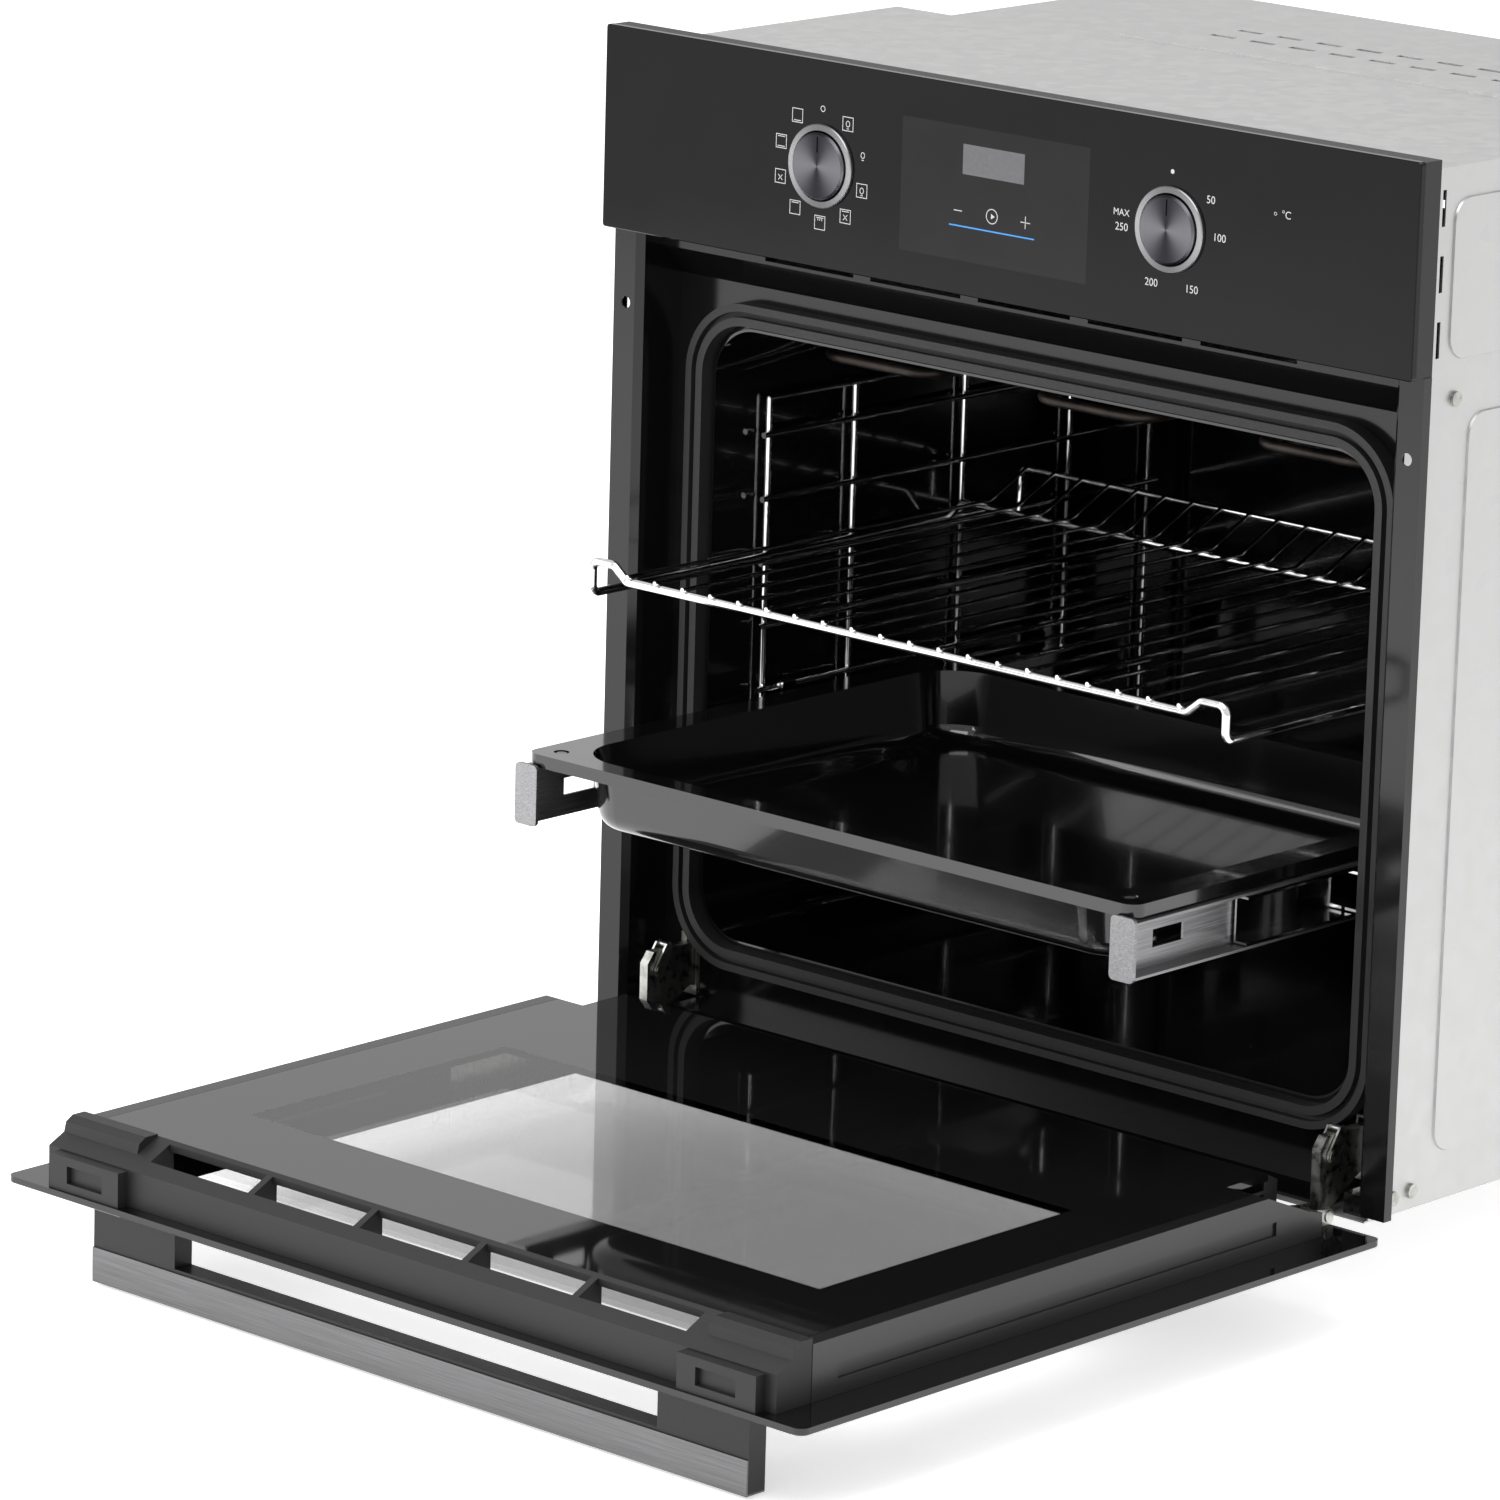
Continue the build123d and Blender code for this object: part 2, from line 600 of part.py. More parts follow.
blade_count = 20
with BuildPart() as cooling_fan_impeller:
    for low_x in (-100, 98.5):
        rod((low_x, blower_y, blower_z), (low_x + 1.5, blower_y, blower_z), blower_radius)
    rod((-100, blower_y, blower_z), (150, blower_y, blower_z), shaft_radius)
    for blade in range(blade_count):
        angle = 2 * pi * blade / blade_count
        out = (0, cos(angle), sin(angle))
        middle = (0, blower_y + (blower_radius - 3) * cos(angle), blower_z + (blower_radius - 3) * sin(angle))
        with Locations(Plane(origin=middle, x_dir=(1, 0, 0), z_dir=out)):
            Box(blower_length - 2, 0.8, 5)
cooling_fan_impeller.part.label = "cooling_fan_impeller"
export_step(cooling_fan_impeller.part, "parts/cooling_fan_impeller.step")

with BuildPart() as cooling_fan_motor:
    rod((blower_half, blower_y, blower_z), (blower_half + 1.5, blower_y, blower_z), 34)
    rod((blower_half - 1, blower_y, blower_z), (blower_half + 3, blower_y, blower_z), 20, Mode.SUBTRACT)
    rod((blower_half + 8, blower_y, blower_z), (blower_half + 48, blower_y, blower_z), 27)
    for turn in range(3):
        angle = 2 * pi * turn / 3
        post_y = blower_y + 23.5 * cos(angle)
        post_z = blower_z + 23.5 * sin(angle)
        rod((blower_half, post_y, post_z), (blower_half + 9, post_y, post_z), 2.5)
    rod((blower_half + 7, blower_y, blower_z), (153, blower_y, blower_z), shaft_radius + running,
        Mode.SUBTRACT)
cooling_fan_motor.part.label = "cooling_fan_motor"
export_step(cooling_fan_motor.part, "parts/cooling_fan_motor.step")

# ================================================================ convection fan
cover_front = cavity_rear - 35
cover_half = 165.0
cover_low = 84.0
cover_high = 394.0
with BuildPart() as fan_cover:
    block((-cover_half, cover_front, cover_low), (cover_half, cavity_rear, cover_high))
    front_corners = fan_cover.edges().filter_by(Axis.Y)
    fillet(front_corners, 16)
    with BuildSketch(Plane.XZ.offset(-(cover_front + 1.2))) as hollow:
        with Locations((0, (cover_low + cover_high) / 2)):
            RectangleRounded(2 * cover_half - 2.4, cover_high - cover_low - 2.4, 14.8)
    extrude(hollow.sketch, amount=-40, mode=Mode.SUBTRACT)
    with BuildSketch(Plane.XZ.offset(-(cover_front - 1))) as intake:
        with Locations((0, fan_z)):
            Circle(5)
            for ring, count in ((16, 6), (32, 12), (48, 18)):
                with PolarLocations(ring, count):
                    Circle(5)
    extrude(intake.sketch, amount=-5, mode=Mode.SUBTRACT)
    for sign in (-1, 1):
        for row in range(5):
            z = fan_z + (row - 2) * 44
            block((sign * (cover_half - 4), cover_front + 9, z - 15),
                  (sign * (cover_half + 2), cover_front + 27, z + 15),
                  Mode.SUBTRACT)
fan_cover.part.label = "fan_cover"
export_step(fan_cover.part, "parts/fan_cover.step")

fan_blades = 14
fan_back = cavity_rear - 9
with BuildPart() as convection_fan:
    rod((0, fan_back - 1.2, fan_z), (0, fan_back, fan_z), fan_radius)
    for blade in range(fan_blades):
        angle = 2 * pi * blade / fan_blades
        middle = ((fan_radius - 14) * cos(angle), fan_back - 9, fan_z + (fan_radius - 14) * sin(angle))
        with Locations(Plane(origin=middle, x_dir=(cos(angle), 0, sin(angle)), z_dir=(0, 1, 0))):
            Box(24, 1.0, 16)
    rod((0, fan_back - 10, fan_z), (0, casing_depth + 40, fan_z), shaft_radius)
    rod((0, fan_back - 8, fan_z), (0, fan_back, fan_z), 7)
convection_fan.part.label = "convection_fan"
export_step(convection_fan.part, "parts/convection_fan.step")

with BuildPart() as convection_motor:
    rod((0, casing_depth, fan_z), (0, casing_depth + 2, fan_z), 45)
    rod((0, casing_depth + 2, fan_z), (0, casing_depth + 14, fan_z), 12)
    rod((0, casing_depth + 12, fan_z), (0, casing_depth + 45, fan_z), 34)
    block((-28, casing_depth + 14, fan_z - 42), (28, casing_depth + 38, fan_z + 30))
    rod((0, casing_depth - 1, fan_z), (0, casing_depth + 42, fan_z), shaft_radius + running, Mode.SUBTRACT)
    with Locations((0, casing_depth + 1, fan_z)):
        for turn in range(3):
            angle = 2 * pi * turn / 3 + pi / 6
            rod((38 * cos(angle), casing_depth - 1, fan_z + 38 * sin(angle)),
                (38 * cos(angle), casing_depth + 4, fan_z + 38 * sin(angle)), 2.2, Mode.SUBTRACT)
convection_motor.part.label = "convection_motor"
export_step(convection_motor.part, "parts/convection_motor.step")

# ================================================================ heating elements and lamp
element_end = casing_depth - 6
with BuildPart() as ring_element:
    # open ring; its two ends turn back through the rear wall
    ring_y = cavity_rear - 16
    gap_angle = asin(ring_leg_x / ring_element_radius)
    ring_start = Plane(origin=(ring_leg_x, ring_y, ring_leg_z), x_dir=(sin(gap_angle), 0, cos(gap_angle)),
                       z_dir=(cos(gap_angle), 0, -sin(gap_angle)))
    with BuildSketch(ring_start) as ring_section:
        Circle(element_tube)
    revolve(ring_section.sketch, axis=Axis((0, ring_y, fan_z), (0, 1, 0)),
            revolution_arc=360 - 2 * degrees(gap_angle))
    for sign in (-1, 1):
        rod((sign * ring_leg_x, ring_y, ring_leg_z), (sign * ring_leg_x, element_end, ring_leg_z),
            element_tube)
        with Locations((sign * ring_leg_x, ring_y, ring_leg_z)):
            Sphere(element_tube)
    block((-30, cavity_rear - 1.5, ring_leg_z - 8), (30, cavity_rear, ring_leg_z + 8))
ring_element.part.label = "ring_element"
export_step(ring_element.part, "parts/ring_element.step")

grill_front = recess_y + 42
grill_turn = 350.0
with BuildPart() as grill_element:
    grill_route = [(grill_leg_x, element_end), (grill_leg_x, 388), (205, 388), (205, grill_front),
                   (120, grill_front), (120, grill_turn), (42, grill_turn), (42, grill_front)]
    grill_route += [(-x, y) for x, y in reversed(grill_route)]
    bent_wire([(x, y, grill_z) for x, y in grill_route], element_tube, 17)
    block((-75, cavity_rear - 1.5, grill_z - 9), (75, cavity_rear, grill_z + 9))
grill_element.part.label = "grill_element"
export_step(grill_element.part, "parts/grill_element.step")

with BuildPart() as bottom_element:
    floor_route = [(bottom_leg_x, element_end), (bottom_leg_x, 400), (190, 400), (190, 90)]
    floor_route += [(-x, y) for x, y in reversed(floor_route)]
    bent_wire([(x, y, bottom_element_z) for x, y in floor_route], element_tube, 25)
    # clips that hang it from the cavity's floor
    for sign in (-1, 1):
        block((sign * 184, 240, bottom_element_z - 2), (sign * 196, 252, cavity_bottom - liner_wall))
bottom_element.part.label = "bottom_element"
export_step(bottom_element.part, "parts/bottom_element.step")

with BuildPart() as lamp_glass:
    rod((lamp_x, cavity_rear - 14, lamp_z), (lamp_x, cavity_rear, lamp_z), lamp_hole + 2)
    fillet(lamp_glass.edges().filter_by(GeomType.CIRCLE).sort_by(Axis.Y)[0], 8)
    rod((lamp_x, cavity_rear - 11, lamp_z), (lamp_x, cavity_rear + 1, lamp_z), lamp_hole - 2, Mode.SUBTRACT)
lamp_glass.part.label = "lamp_glass"
export_step(lamp_glass.part, "parts/lamp_glass.step")

holder_rear = cavity_rear + 15.5
with BuildPart() as lamp_holder:
    rod((lamp_x, cavity_rear + 0.2, lamp_z), (lamp_x, holder_rear, lamp_z), lamp_hole - 0.5)
    rod((lamp_x, cavity_rear, lamp_z), (lamp_x, holder_rear - 2, lamp_z), lamp_hole - 2.5, Mode.SUBTRACT)
    rod((lamp_x, liner_rear, lamp_z), (lamp_x, liner_rear + 1.2, lamp_z), lamp_hole + 0.7)
    rod((lamp_x, cavity_rear, lamp_z), (lamp_x, holder_rear - 2, lamp_z), lamp_hole - 2.5, Mode.SUBTRACT)
lamp_holder.part.label = "lamp_holder"
export_step(lamp_holder.part, "parts/lamp_holder.step")

with BuildPart() as lamp_bulb:
    rod((lamp_x, cavity_rear - 8, lamp_z), (lamp_x, cavity_rear + 8, lamp_z), 6.5)
    fillet(lamp_bulb.edges().filter_by(GeomType.CIRCLE).sort_by(Axis.Y)[0], 4)
    rod((lamp_x, cavity_rear + 6, lamp_z), (lamp_x, holder_rear - 2, lamp_z), 8)
lamp_bulb.part.label = "lamp_bulb"
export_step(lamp_bulb.part, "parts/lamp_bulb.step")

with BuildPart() as terminal_block:
    block((-235, casing_depth, 40), (-165, casing_depth + 24, 85))
    block((-231, casing_depth + 4, 34), (-169, casing_depth + 20, 46))
    rod((-200, casing_depth + 12, 33), (-200, casing_depth + 12, 60), 6, Mode.SUBTRACT)
    for x in (-222, -200, -178):
        rod((x, casing_depth + 22, 74), (x, casing_depth + 30, 74), 3, Mode.SUBTRACT)
terminal_block.part.label = "terminal_block"
export_step(terminal_block.part, "parts/terminal_block.step")

# ================================================================ door
glass_inner = facade_back + 0.1
column_x = inner_glass_width / 2 + slip
column_low = 22.0
notch_height = 70.0
notch_x = 243.0
trim_low = inner_glass_top + slip
trim_half = 272.0

with BuildPart() as door_outer_glass:
    with BuildSketch(Plane.XY.offset(open_z(facade_front))) as face:
        with Locations((0, open_y(door_height / 2))):
            RectangleRounded(facade_width, door_height, door_corner)
    extrude(face.sketch, amount=facade_glass)
    chamfer(door_outer_glass.faces().sort_by(Axis.Z)[0].edges(), 0.6)
door_outer_glass.part.label = "door_outer_glass"
export_step(door_outer_glass.part, "parts/door_outer_glass.step")

with BuildPart() as door_inner_glass:
    inner_back = inner_face - inner_glass
    door_block((-inner_glass_width / 2, inner_glass_width / 2), (inner_glass_bottom, inner_glass_top),
               (inner_back, inner_face))
    for side, sign in sides:
        door_block((sign * notch_x, sign * (inner_glass_width / 2 + 1)),
                   (inner_glass_bottom - 1, notch_height),
                   (inner_back - 1, inner_face + 1), Mode.SUBTRACT)
door_inner_glass.part.label = "door_inner_glass"
export_step(door_inner_glass.part, "parts/door_inner_glass.step")

middle_glass_low = inner_glass_bottom + 3
with BuildPart() as door_middle_glass:
    door_block((-middle_glass_width / 2, middle_glass_width / 2), (middle_glass_low, trim_low - 6),
               (middle_glass_y, middle_glass_y + middle_glass))
door_middle_glass.part.label = "door_middle_glass"
export_step(door_middle_glass.part, "parts/door_middle_glass.step")

for side, sign in sides:
    near = sign * column_x
    far = sign * (column_x + column_width)
    with BuildPart() as door_column:
        outline = [(column_low, glass_inner), (trim_low, glass_inner), (trim_low, inner_face),
                   (notch_height, inner_face), (column_low + 12, 2.0), (column_low, -1.0)]
        door_prism(outline, min(near, far), max(near, far))
        # ledge under the inner glass and the rib that carries the middle glass
        ledge_in = sign * (column_x - 10.3)
        door_block((ledge_in, near), (notch_height + 4, inner_glass_top - 6),
                   (9.6, inner_face - inner_glass - 0.05))
        door_block((sign * (middle_glass_width / 2 - 6), near), (240, trim_low - 8),
                   (middle_glass_y + middle_glass + 0.1, middle_glass_y + middle_glass + 2.1))
        door_block((sign * (middle_glass_width / 2 - 6), near), (240, trim_low - 8),
                   (middle_glass_y - 2.1, middle_glass_y - 0.1))
        # long groove on the outer side
        door_block((far, far - sign * 1.5), (column_low + 40, trim_low - 20), (-6, 2), Mode.SUBTRACT)
    door_column.part.label = f"door_column_{side}"
    export_step(door_column.part, f"parts/door_column_{side}.step")

rail_half = 240.0
rail_top = inner_glass_bottom - 0.2
with BuildPart() as door_bottom_rail:
    door_prism([(column_low, glass_inner), (rail_top + 18, glass_inner), (rail_top + 18, glass_inner + 2),
                (rail_top, glass_inner + 2), (rail_top, inner_face - 0.2), (column_low, inner_face - 6)],
               -rail_half, rail_half)
    for depth in (middle_glass_y - 2.3, middle_glass_y + middle_glass + 0.2):
        door_block((-rail_half, rail_half), (rail_top - 1, rail_top + 14), (depth, depth + 2.1))
    for place in range(-3, 4):
        door_block((place * 64 - 24, place * 64 + 24), (column_low - 1, column_low + 7), (-11, 6),
                   Mode.SUBTRACT)
door_bottom_rail.part.label = "door_bottom_rail"
export_step(door_bottom_rail.part, "parts/door_bottom_rail.step")

slot_pitch = 81.0
slot_rib = 4.5
vent_slots = 5
slot_near = trim_low + 3.0
slot_far = trim_top - 9.0
end_block = (209.0, 264.0)
end_cap = 213.0
with BuildPart() as door_vent_trim:
    door_prism([(trim_low, glass_inner), (trim_top, glass_inner), (trim_top, trim_front_depth),
                (trim_low, trim_depth)], -trim_half, trim_half)
    for place in range(vent_slots):
        middle = (place - (vent_slots - 1) / 2) * slot_pitch
        low_x = middle - (slot_pitch - slot_rib) / 2
        high_x = middle + (slot_pitch - slot_rib) / 2
        # hollow between two ribs, open towards the space between the glasses
        door_prism([(trim_low - 1, glass_inner - 1), (trim_top - 2.5, glass_inner - 1),
                    (trim_top - 2.5, trim_front_depth - 3), (trim_low + 4, trim_depth - 5.5),
                    (trim_low - 1, trim_depth - 5.5)], low_x, high_x, Mode.SUBTRACT)
        door_block((low_x, high_x), (slot_near, slot_far), (-6, trim_depth + 1), Mode.SUBTRACT)
    for side, sign in sides:
        # thicker ends towards the door's upper edge, stepped back above
        low_x = min(sign * end_block[0], sign * end_block[1])
        high_x = max(sign * end_block[0], sign * end_block[1])
        door_prism([(trim_low + 6, glass_inner), (trim_top + 7, glass_inner),
                    (trim_top + 7, trim_front_depth - 1),
                    (trim_low + 6, trim_front_depth - 1)], low_x, high_x)
        low_x = min(sign * end_cap, sign * trim_half)
        high_x = max(sign * end_cap, sign * trim_half)
        door_prism([(trim_low, 5), (trim_low + 17, 5), (trim_low + 14, trim_depth - 2),
                    (trim_low + 9, trim_depth + 1),
                    (trim_low, trim_depth + 1)], low_x, high_x)
        door_block((sign * 222, sign * 250), (trim_top + 4, trim_top + 8), (-10, 0), Mode.SUBTRACT)
    # stub pins on the ribs
    for place in range(vent_slots - 1):
        x = (place - (vent_slots - 2) / 2) * slot_pitch
        pin_height = (slot_near + slot_far) / 2
        rod((x, open_y(pin_height), open_z(-1)), (x + slot_rib / 2 + 11, open_y(pin_height), open_z(-1)), 2.5)
door_vent_trim.part.label = "door_vent_trim"
export_step(door_vent_trim.part, "parts/door_vent_trim.step")

# ================================================================ handle
handle_front = open_z(facade_front) - handle_rise
handle_far = open_y(handle_top)
handle_near = handle_far + handle_height
half_handle = handle_length / 2
with BuildPart() as handle_bar:
    block((-half_handle + 0.3, handle_far + strip_wall, handle_front + strip_wall),
          (half_handle - 0.3, handle_near, handle_front + strip_depth + 2))
    for side, sign in sides:
        block((sign * (half_handle - handle_post), handle_far + strip_wall, handle_front + strip_wall),
              (sign * half_handle, handle_near, open_z(facade_front)))
    for side, sign in sides:
        # grip hollow behind the post
        block((sign * (half_handle - handle_post + 3), handle_near - 5, handle_front + 27),
              (sign * (half_handle - 3), handle_near + 1, open_z(facade_front) - 3), Mode.SUBTRACT)
handle_bar.part.label = "handle_bar"
export_step(handle_bar.part, "parts/handle_bar.step")

with BuildPart() as handle_strip:
    block((-half_handle, handle_far, handle_front),
          (half_handle, handle_far + strip_wall, handle_front + strip_depth))
    block((-half_handle, handle_far, handle_front), (half_handle, handle_near, handle_front + strip_wall))
handle_strip.part.label = "handle_strip"
export_step(handle_strip.part, "parts/handle_strip.step")

# ================================================================ hinges
arm_half = arm_thickness / 2
wall = 1.2
wall_gap = 3.1
channel_length = 173.0
latch_y = -5.0
latch_z = 35.0
latch_pin = 2.0

for side, sign in sides:
    middle = sign * hinge_half
    inner_wall = middle - arm_half - wall_gap - wall
    outer_wall = middle + arm_half + wall_gap
    with BuildPart() as hinge_channel:
        outline = [(hinge_z - 4.2, hinge_y + 2.6), (hinge_z - 2.6, hinge_y + 4.4),
                   (hinge_z + 6, hinge_y + 4.8),
                   (hinge_z + 50, hinge_y + 12), (hinge_z + 60, hinge_y + 18),
                   (hinge_z + channel_length, hinge_y + 18), (hinge_z + channel_length, glass_inner),
                   (hinge_z - 2.6, glass_inner), (hinge_z - 4.2, hinge_y - 2.6)]
        for wall_x in (inner_wall, outer_wall):
            door_prism(outline, wall_x, wall_x + wall)
        door_block((inner_wall, outer_wall + wall), (hinge_z + 52, hinge_z + channel_length),
                   (glass_inner, glass_inner + wall))
        door_block((inner_wall, outer_wall + wall), (hinge_z + 64, hinge_z + channel_length),
                   (hinge_y + 18 - wall, hinge_y + 18))
        rod((inner_wall - 1, hinge_y, hinge_z), (outer_wall + wall + 1, hinge_y, hinge_z), pin_radius,
            Mode.SUBTRACT)
    hinge_channel.part.label = f"hinge_channel_{side}"
    export_step(hinge_channel.part, f"parts/hinge_channel_{side}.step")

with BuildPart() as hinge_pins:
    for side, sign in sides:
        middle = sign * hinge_half
        reach = arm_half + wall_gap + wall
        rod((middle - reach, hinge_y, hinge_z), (middle + reach, hinge_y, hinge_z), pin_radius)
        for end in (-1, 1):
            rod((middle + end * reach, hinge_y, hinge_z), (middle + end * (reach + 0.7), hinge_y, hinge_z),
                pin_radius + 0.9)
hinge_pins.part.label = "hinge_pins"
export_step(hinge_pins.part, "parts/hinge_pins.step")

hook_y = 72.0
hook_z = 26.0
hook_radius = 3.0
for side, sign in sides:
    middle = sign * hinge_half
    with BuildPart() as hinge_arm:
        with BuildSketch(Plane.YZ.offset(middle - arm_half)) as outline:
            with BuildLine():
                Polyline((hinge_y - arm_nose, hinge_z), (hinge_y - arm_nose, latch_z + 5),
                         (hinge_y + 1, latch_z + 11.5), (recess_y + 14, latch_z + 11.5),
                         (hook_y + 9, latch_z + 4),
                         (hook_y + 9, hook_z), (recess_y - 4, 21), (recess_y - 12, 17),
                         (hinge_y + arm_nose, hinge_z),
                         close=True)
            make_face()
            with Locations((hinge_y, hinge_z)):
                Circle(arm_nose)
            with Locations((hook_y, hook_z)):
                Circle(hook_radius + 0.05, mode=Mode.SUBTRACT)
        extrude(outline.sketch, amount=arm_thickness)
        rod((middle - arm_half - 1, hinge_y, hinge_z), (middle + arm_half + 1, hinge_y, hinge_z),
            pin_radius + running, Mode.SUBTRACT)
        # rivet that the latch swings on
        rod((middle - arm_half - 2.6, latch_y, latch_z), (middle + arm_half + 2.6, latch_y, latch_z),
            latch_pin)
        for end in (-1, 1):
            rod((middle + end * (arm_half + 2.0), latch_y, latch_z),
                (middle + end * (arm_half + 2.7), latch_y, latch_z), latch_pin + 1.6)
    hinge_arm.part.label = f"hinge_arm_{side}"
    export_step(hinge_arm.part, f"parts/hinge_arm_{side}.step")

receiver_half = 5.5
with BuildPart() as hinge_receivers:
    for side, sign in sides:
        middle = sign * hinge_half
        block((sign * (hinge_half - 5), recess_y - 1.5, slot_low_z - 3),
              (sign * (hinge_half + 8), recess_y, slot_high_z - 4))
        for end in (-1, 1):
            block((middle + end * receiver_half, recess_y, slot_low_z + 1),
                  (middle + end * (receiver_half - wall), receiver_rear, slot_high_z - 1))
        block((middle - receiver_half, recess_y, slot_low_z + 1),
              (middle + receiver_half, receiver_rear, slot_low_z + 2.2))
        block((middle - receiver_half, receiver_rear - wall, slot_low_z + 1),
              (middle + receiver_half, receiver_rear, slot_high_z - 1))
        block((middle - arm_half - 0.6, recess_y - 3, slot_low_z + 2.5),
              (middle + arm_half + 0.6, recess_y + 1, slot_high_z - 5.5), Mode.SUBTRACT)
        # pin that the arm hooks over
        rod((middle - receiver_half + 0.5, hook_y, hook_z), (middle + receiver_half - 0.5, hook_y, hook_z),
            hook_radius)
hinge_receivers.part.label = "hinge_receivers"
export_step(hinge_receivers.part, "parts/hinge_receivers.step")

latch_reach = 15.7
latch_wire = 1.6
for side, sign in sides:
    middle = sign * hinge_half
    bar_y = latch_y + latch_reach * 0.5
    bar_z = latch_z + latch_reach * 0.866
    with BuildPart() as hinge_latch:
        for end in (-1, 1):
            leg = middle + end * (arm_half + 0.4)
            leg_far = leg + end * 1.4
            with BuildSketch(Plane.YZ.offset(min(leg, leg_far))) as outline:
                with BuildLine():
                    Polyline((latch_y - 4, latch_z + 1.5), (latch_y + 3.2, latch_z - 2.6),
                             (bar_y + 2.8, bar_z - 1.4),
                             (bar_y + 1, bar_z + 2), (bar_y - 2.6, bar_z + 1.6), close=True)
                make_face()
                with Locations((latch_y, latch_z)):
                    Circle(4.2)
                    Circle(latch_pin + running, mode=Mode.SUBTRACT)
            extrude(outline.sketch, amount=1.4)
        rod((middle - arm_half - 1.8, bar_y, bar_z), (middle + arm_half + 1.8, bar_y, bar_z), latch_wire)
    hinge_latch.part.label = f"hinge_latch_{side}"
    export_step(hinge_latch.part, f"parts/hinge_latch_{side}.step")

# ================================================================ side ladders
rung_zs = [rung_first + k * rung_pitch for k in range(rung_count)]
ladder_low = 100.0
ladder_high = 372.0
ladder_front = upright_ys[0]
ladder_back = upright_ys[-1]
for side, sign in sides:
    x = sign * ladder_x
    with BuildPart() as ladder_rack:
        for y in upright_ys:
            rod((x, y, ladder_low), (x, y, ladder_high), ladder_wire)
        for z in (ladder_low, ladder_high):
            rod((x, ladder_front, z), (x, ladder_back, z), ladder_wire)
            for y in (ladder_front, ladder_back):
                with Locations((x, y, z)):
                    Sphere(ladder_wire)
        for z in rung_zs:
            rod((sign * rung_x, 60, z), (sign * rung_x, ladder_back + 4, z), rung_wire)
        # studs that hang it on the cavity's wall
        for y in (upright_ys[1], upright_ys[3]):
            for z in (ladder_low, ladder_high):
                rod((x, y, z), (sign * half_cavity, y, z), 3)
    ladder_rack.part.label = f"ladder_rack_{side}"
    export_step(ladder_rack.part, f"parts/ladder_rack_{side}.step")

# ================================================================ telescopic runners
rail_x = 234.0
rail_low = 160.5
rail_high = 183.5
rail_lip = 224.5
rail_clip = 1.5
hook_rung = rung_zs[2] + rung_wire
foot_rung = rung_zs[1] - rung_wire
with BuildPart() as runner_fixed_rails:
    for side, sign in sides:
        block((sign * rail_x, runner_home, rail_low),
              (sign * (rail_x - 1.5), runner_home + runner_length, rail_high))
        for z in (rail_low, rail_high - 1.5):
            block((sign * rail_x, runner_home, z), (sign * rail_lip, runner_home + runner_length, z + 1.5))
        # clips that hang each rail on two rungs
        for y in (85, 325):
            block((sign * rail_x, y - 6, foot_rung - 1.5),
                  (sign * (rail_x + rail_clip), y + 6, hook_rung + 1.5))
            for z in (foot_rung - 1.5, hook_rung):
                block((sign * rail_x, y - 6, z), (sign * (rung_x + 2), y + 6, z + 1.5))
runner_fixed_rails.part.label = "runner_fixed_rails"
export_step(runner_fixed_rails.part, "parts/runner_fixed_rails.step")

slide_rail = 1.2
middle_front = runner_home - runner_travel / 2
with BuildPart() as runner_middle_rails:
    for side, sign in sides:
        block((sign * 222, middle_front, rail_low - 2),
              (sign * (222 + slide_rail), middle_front + runner_length, rail_high + 2))
        for z in (rail_low - 2, rail_high + 2 - slide_rail):
            block((sign * 222, middle_front, z), (sign * 231, middle_front + runner_length, z + slide_rail))
runner_middle_rails.part.label = "runner_middle_rails"
export_step(runner_middle_rails.part, "parts/runner_middle_rails.step")

slide_front = runner_home - runner_travel
peg_x = 212.0
peg_y = slide_front + 16
peg_radius = 3.0
for side, sign in sides:
    web = sign * runner_web_x
    with BuildPart() as runner_slide:
        block((web, slide_front, runner_bottom),
              (web + sign * runner_sheet, slide_front + runner_length, runner_top))
        for z in (runner_bottom, runner_top - runner_sheet):
            block((web, slide_front, z), (sign * 230.5, slide_front + runner_length, z + runner_sheet))
        block((sign * 214, slide_front - 2.2, runner_bottom - 1.5),
              (sign * 231, slide_front, runner_top + 2.5))
        fillet(runner_slide.edges().filter_by(Axis.Y).group_by(Axis.Y)[0], 3)
        block((web - sign, slide_front + 26, 168), (web + sign * 3, slide_front + 52, 178), Mode.SUBTRACT)
        # bracket and peg that hold the tray from sliding off
        block((sign * 208, peg_y - 8, runner_top - runner_sheet), (web, peg_y + 8, runner_top))
        rod((sign * peg_x, peg_y, runner_top - 1), (sign * peg_x, peg_y, tray_top - 0.5), peg_radius)
    runner_slide.part.label = f"runner_slide_{side}"
    export_step(runner_slide.part, f"parts/runner_slide_{side}.step")

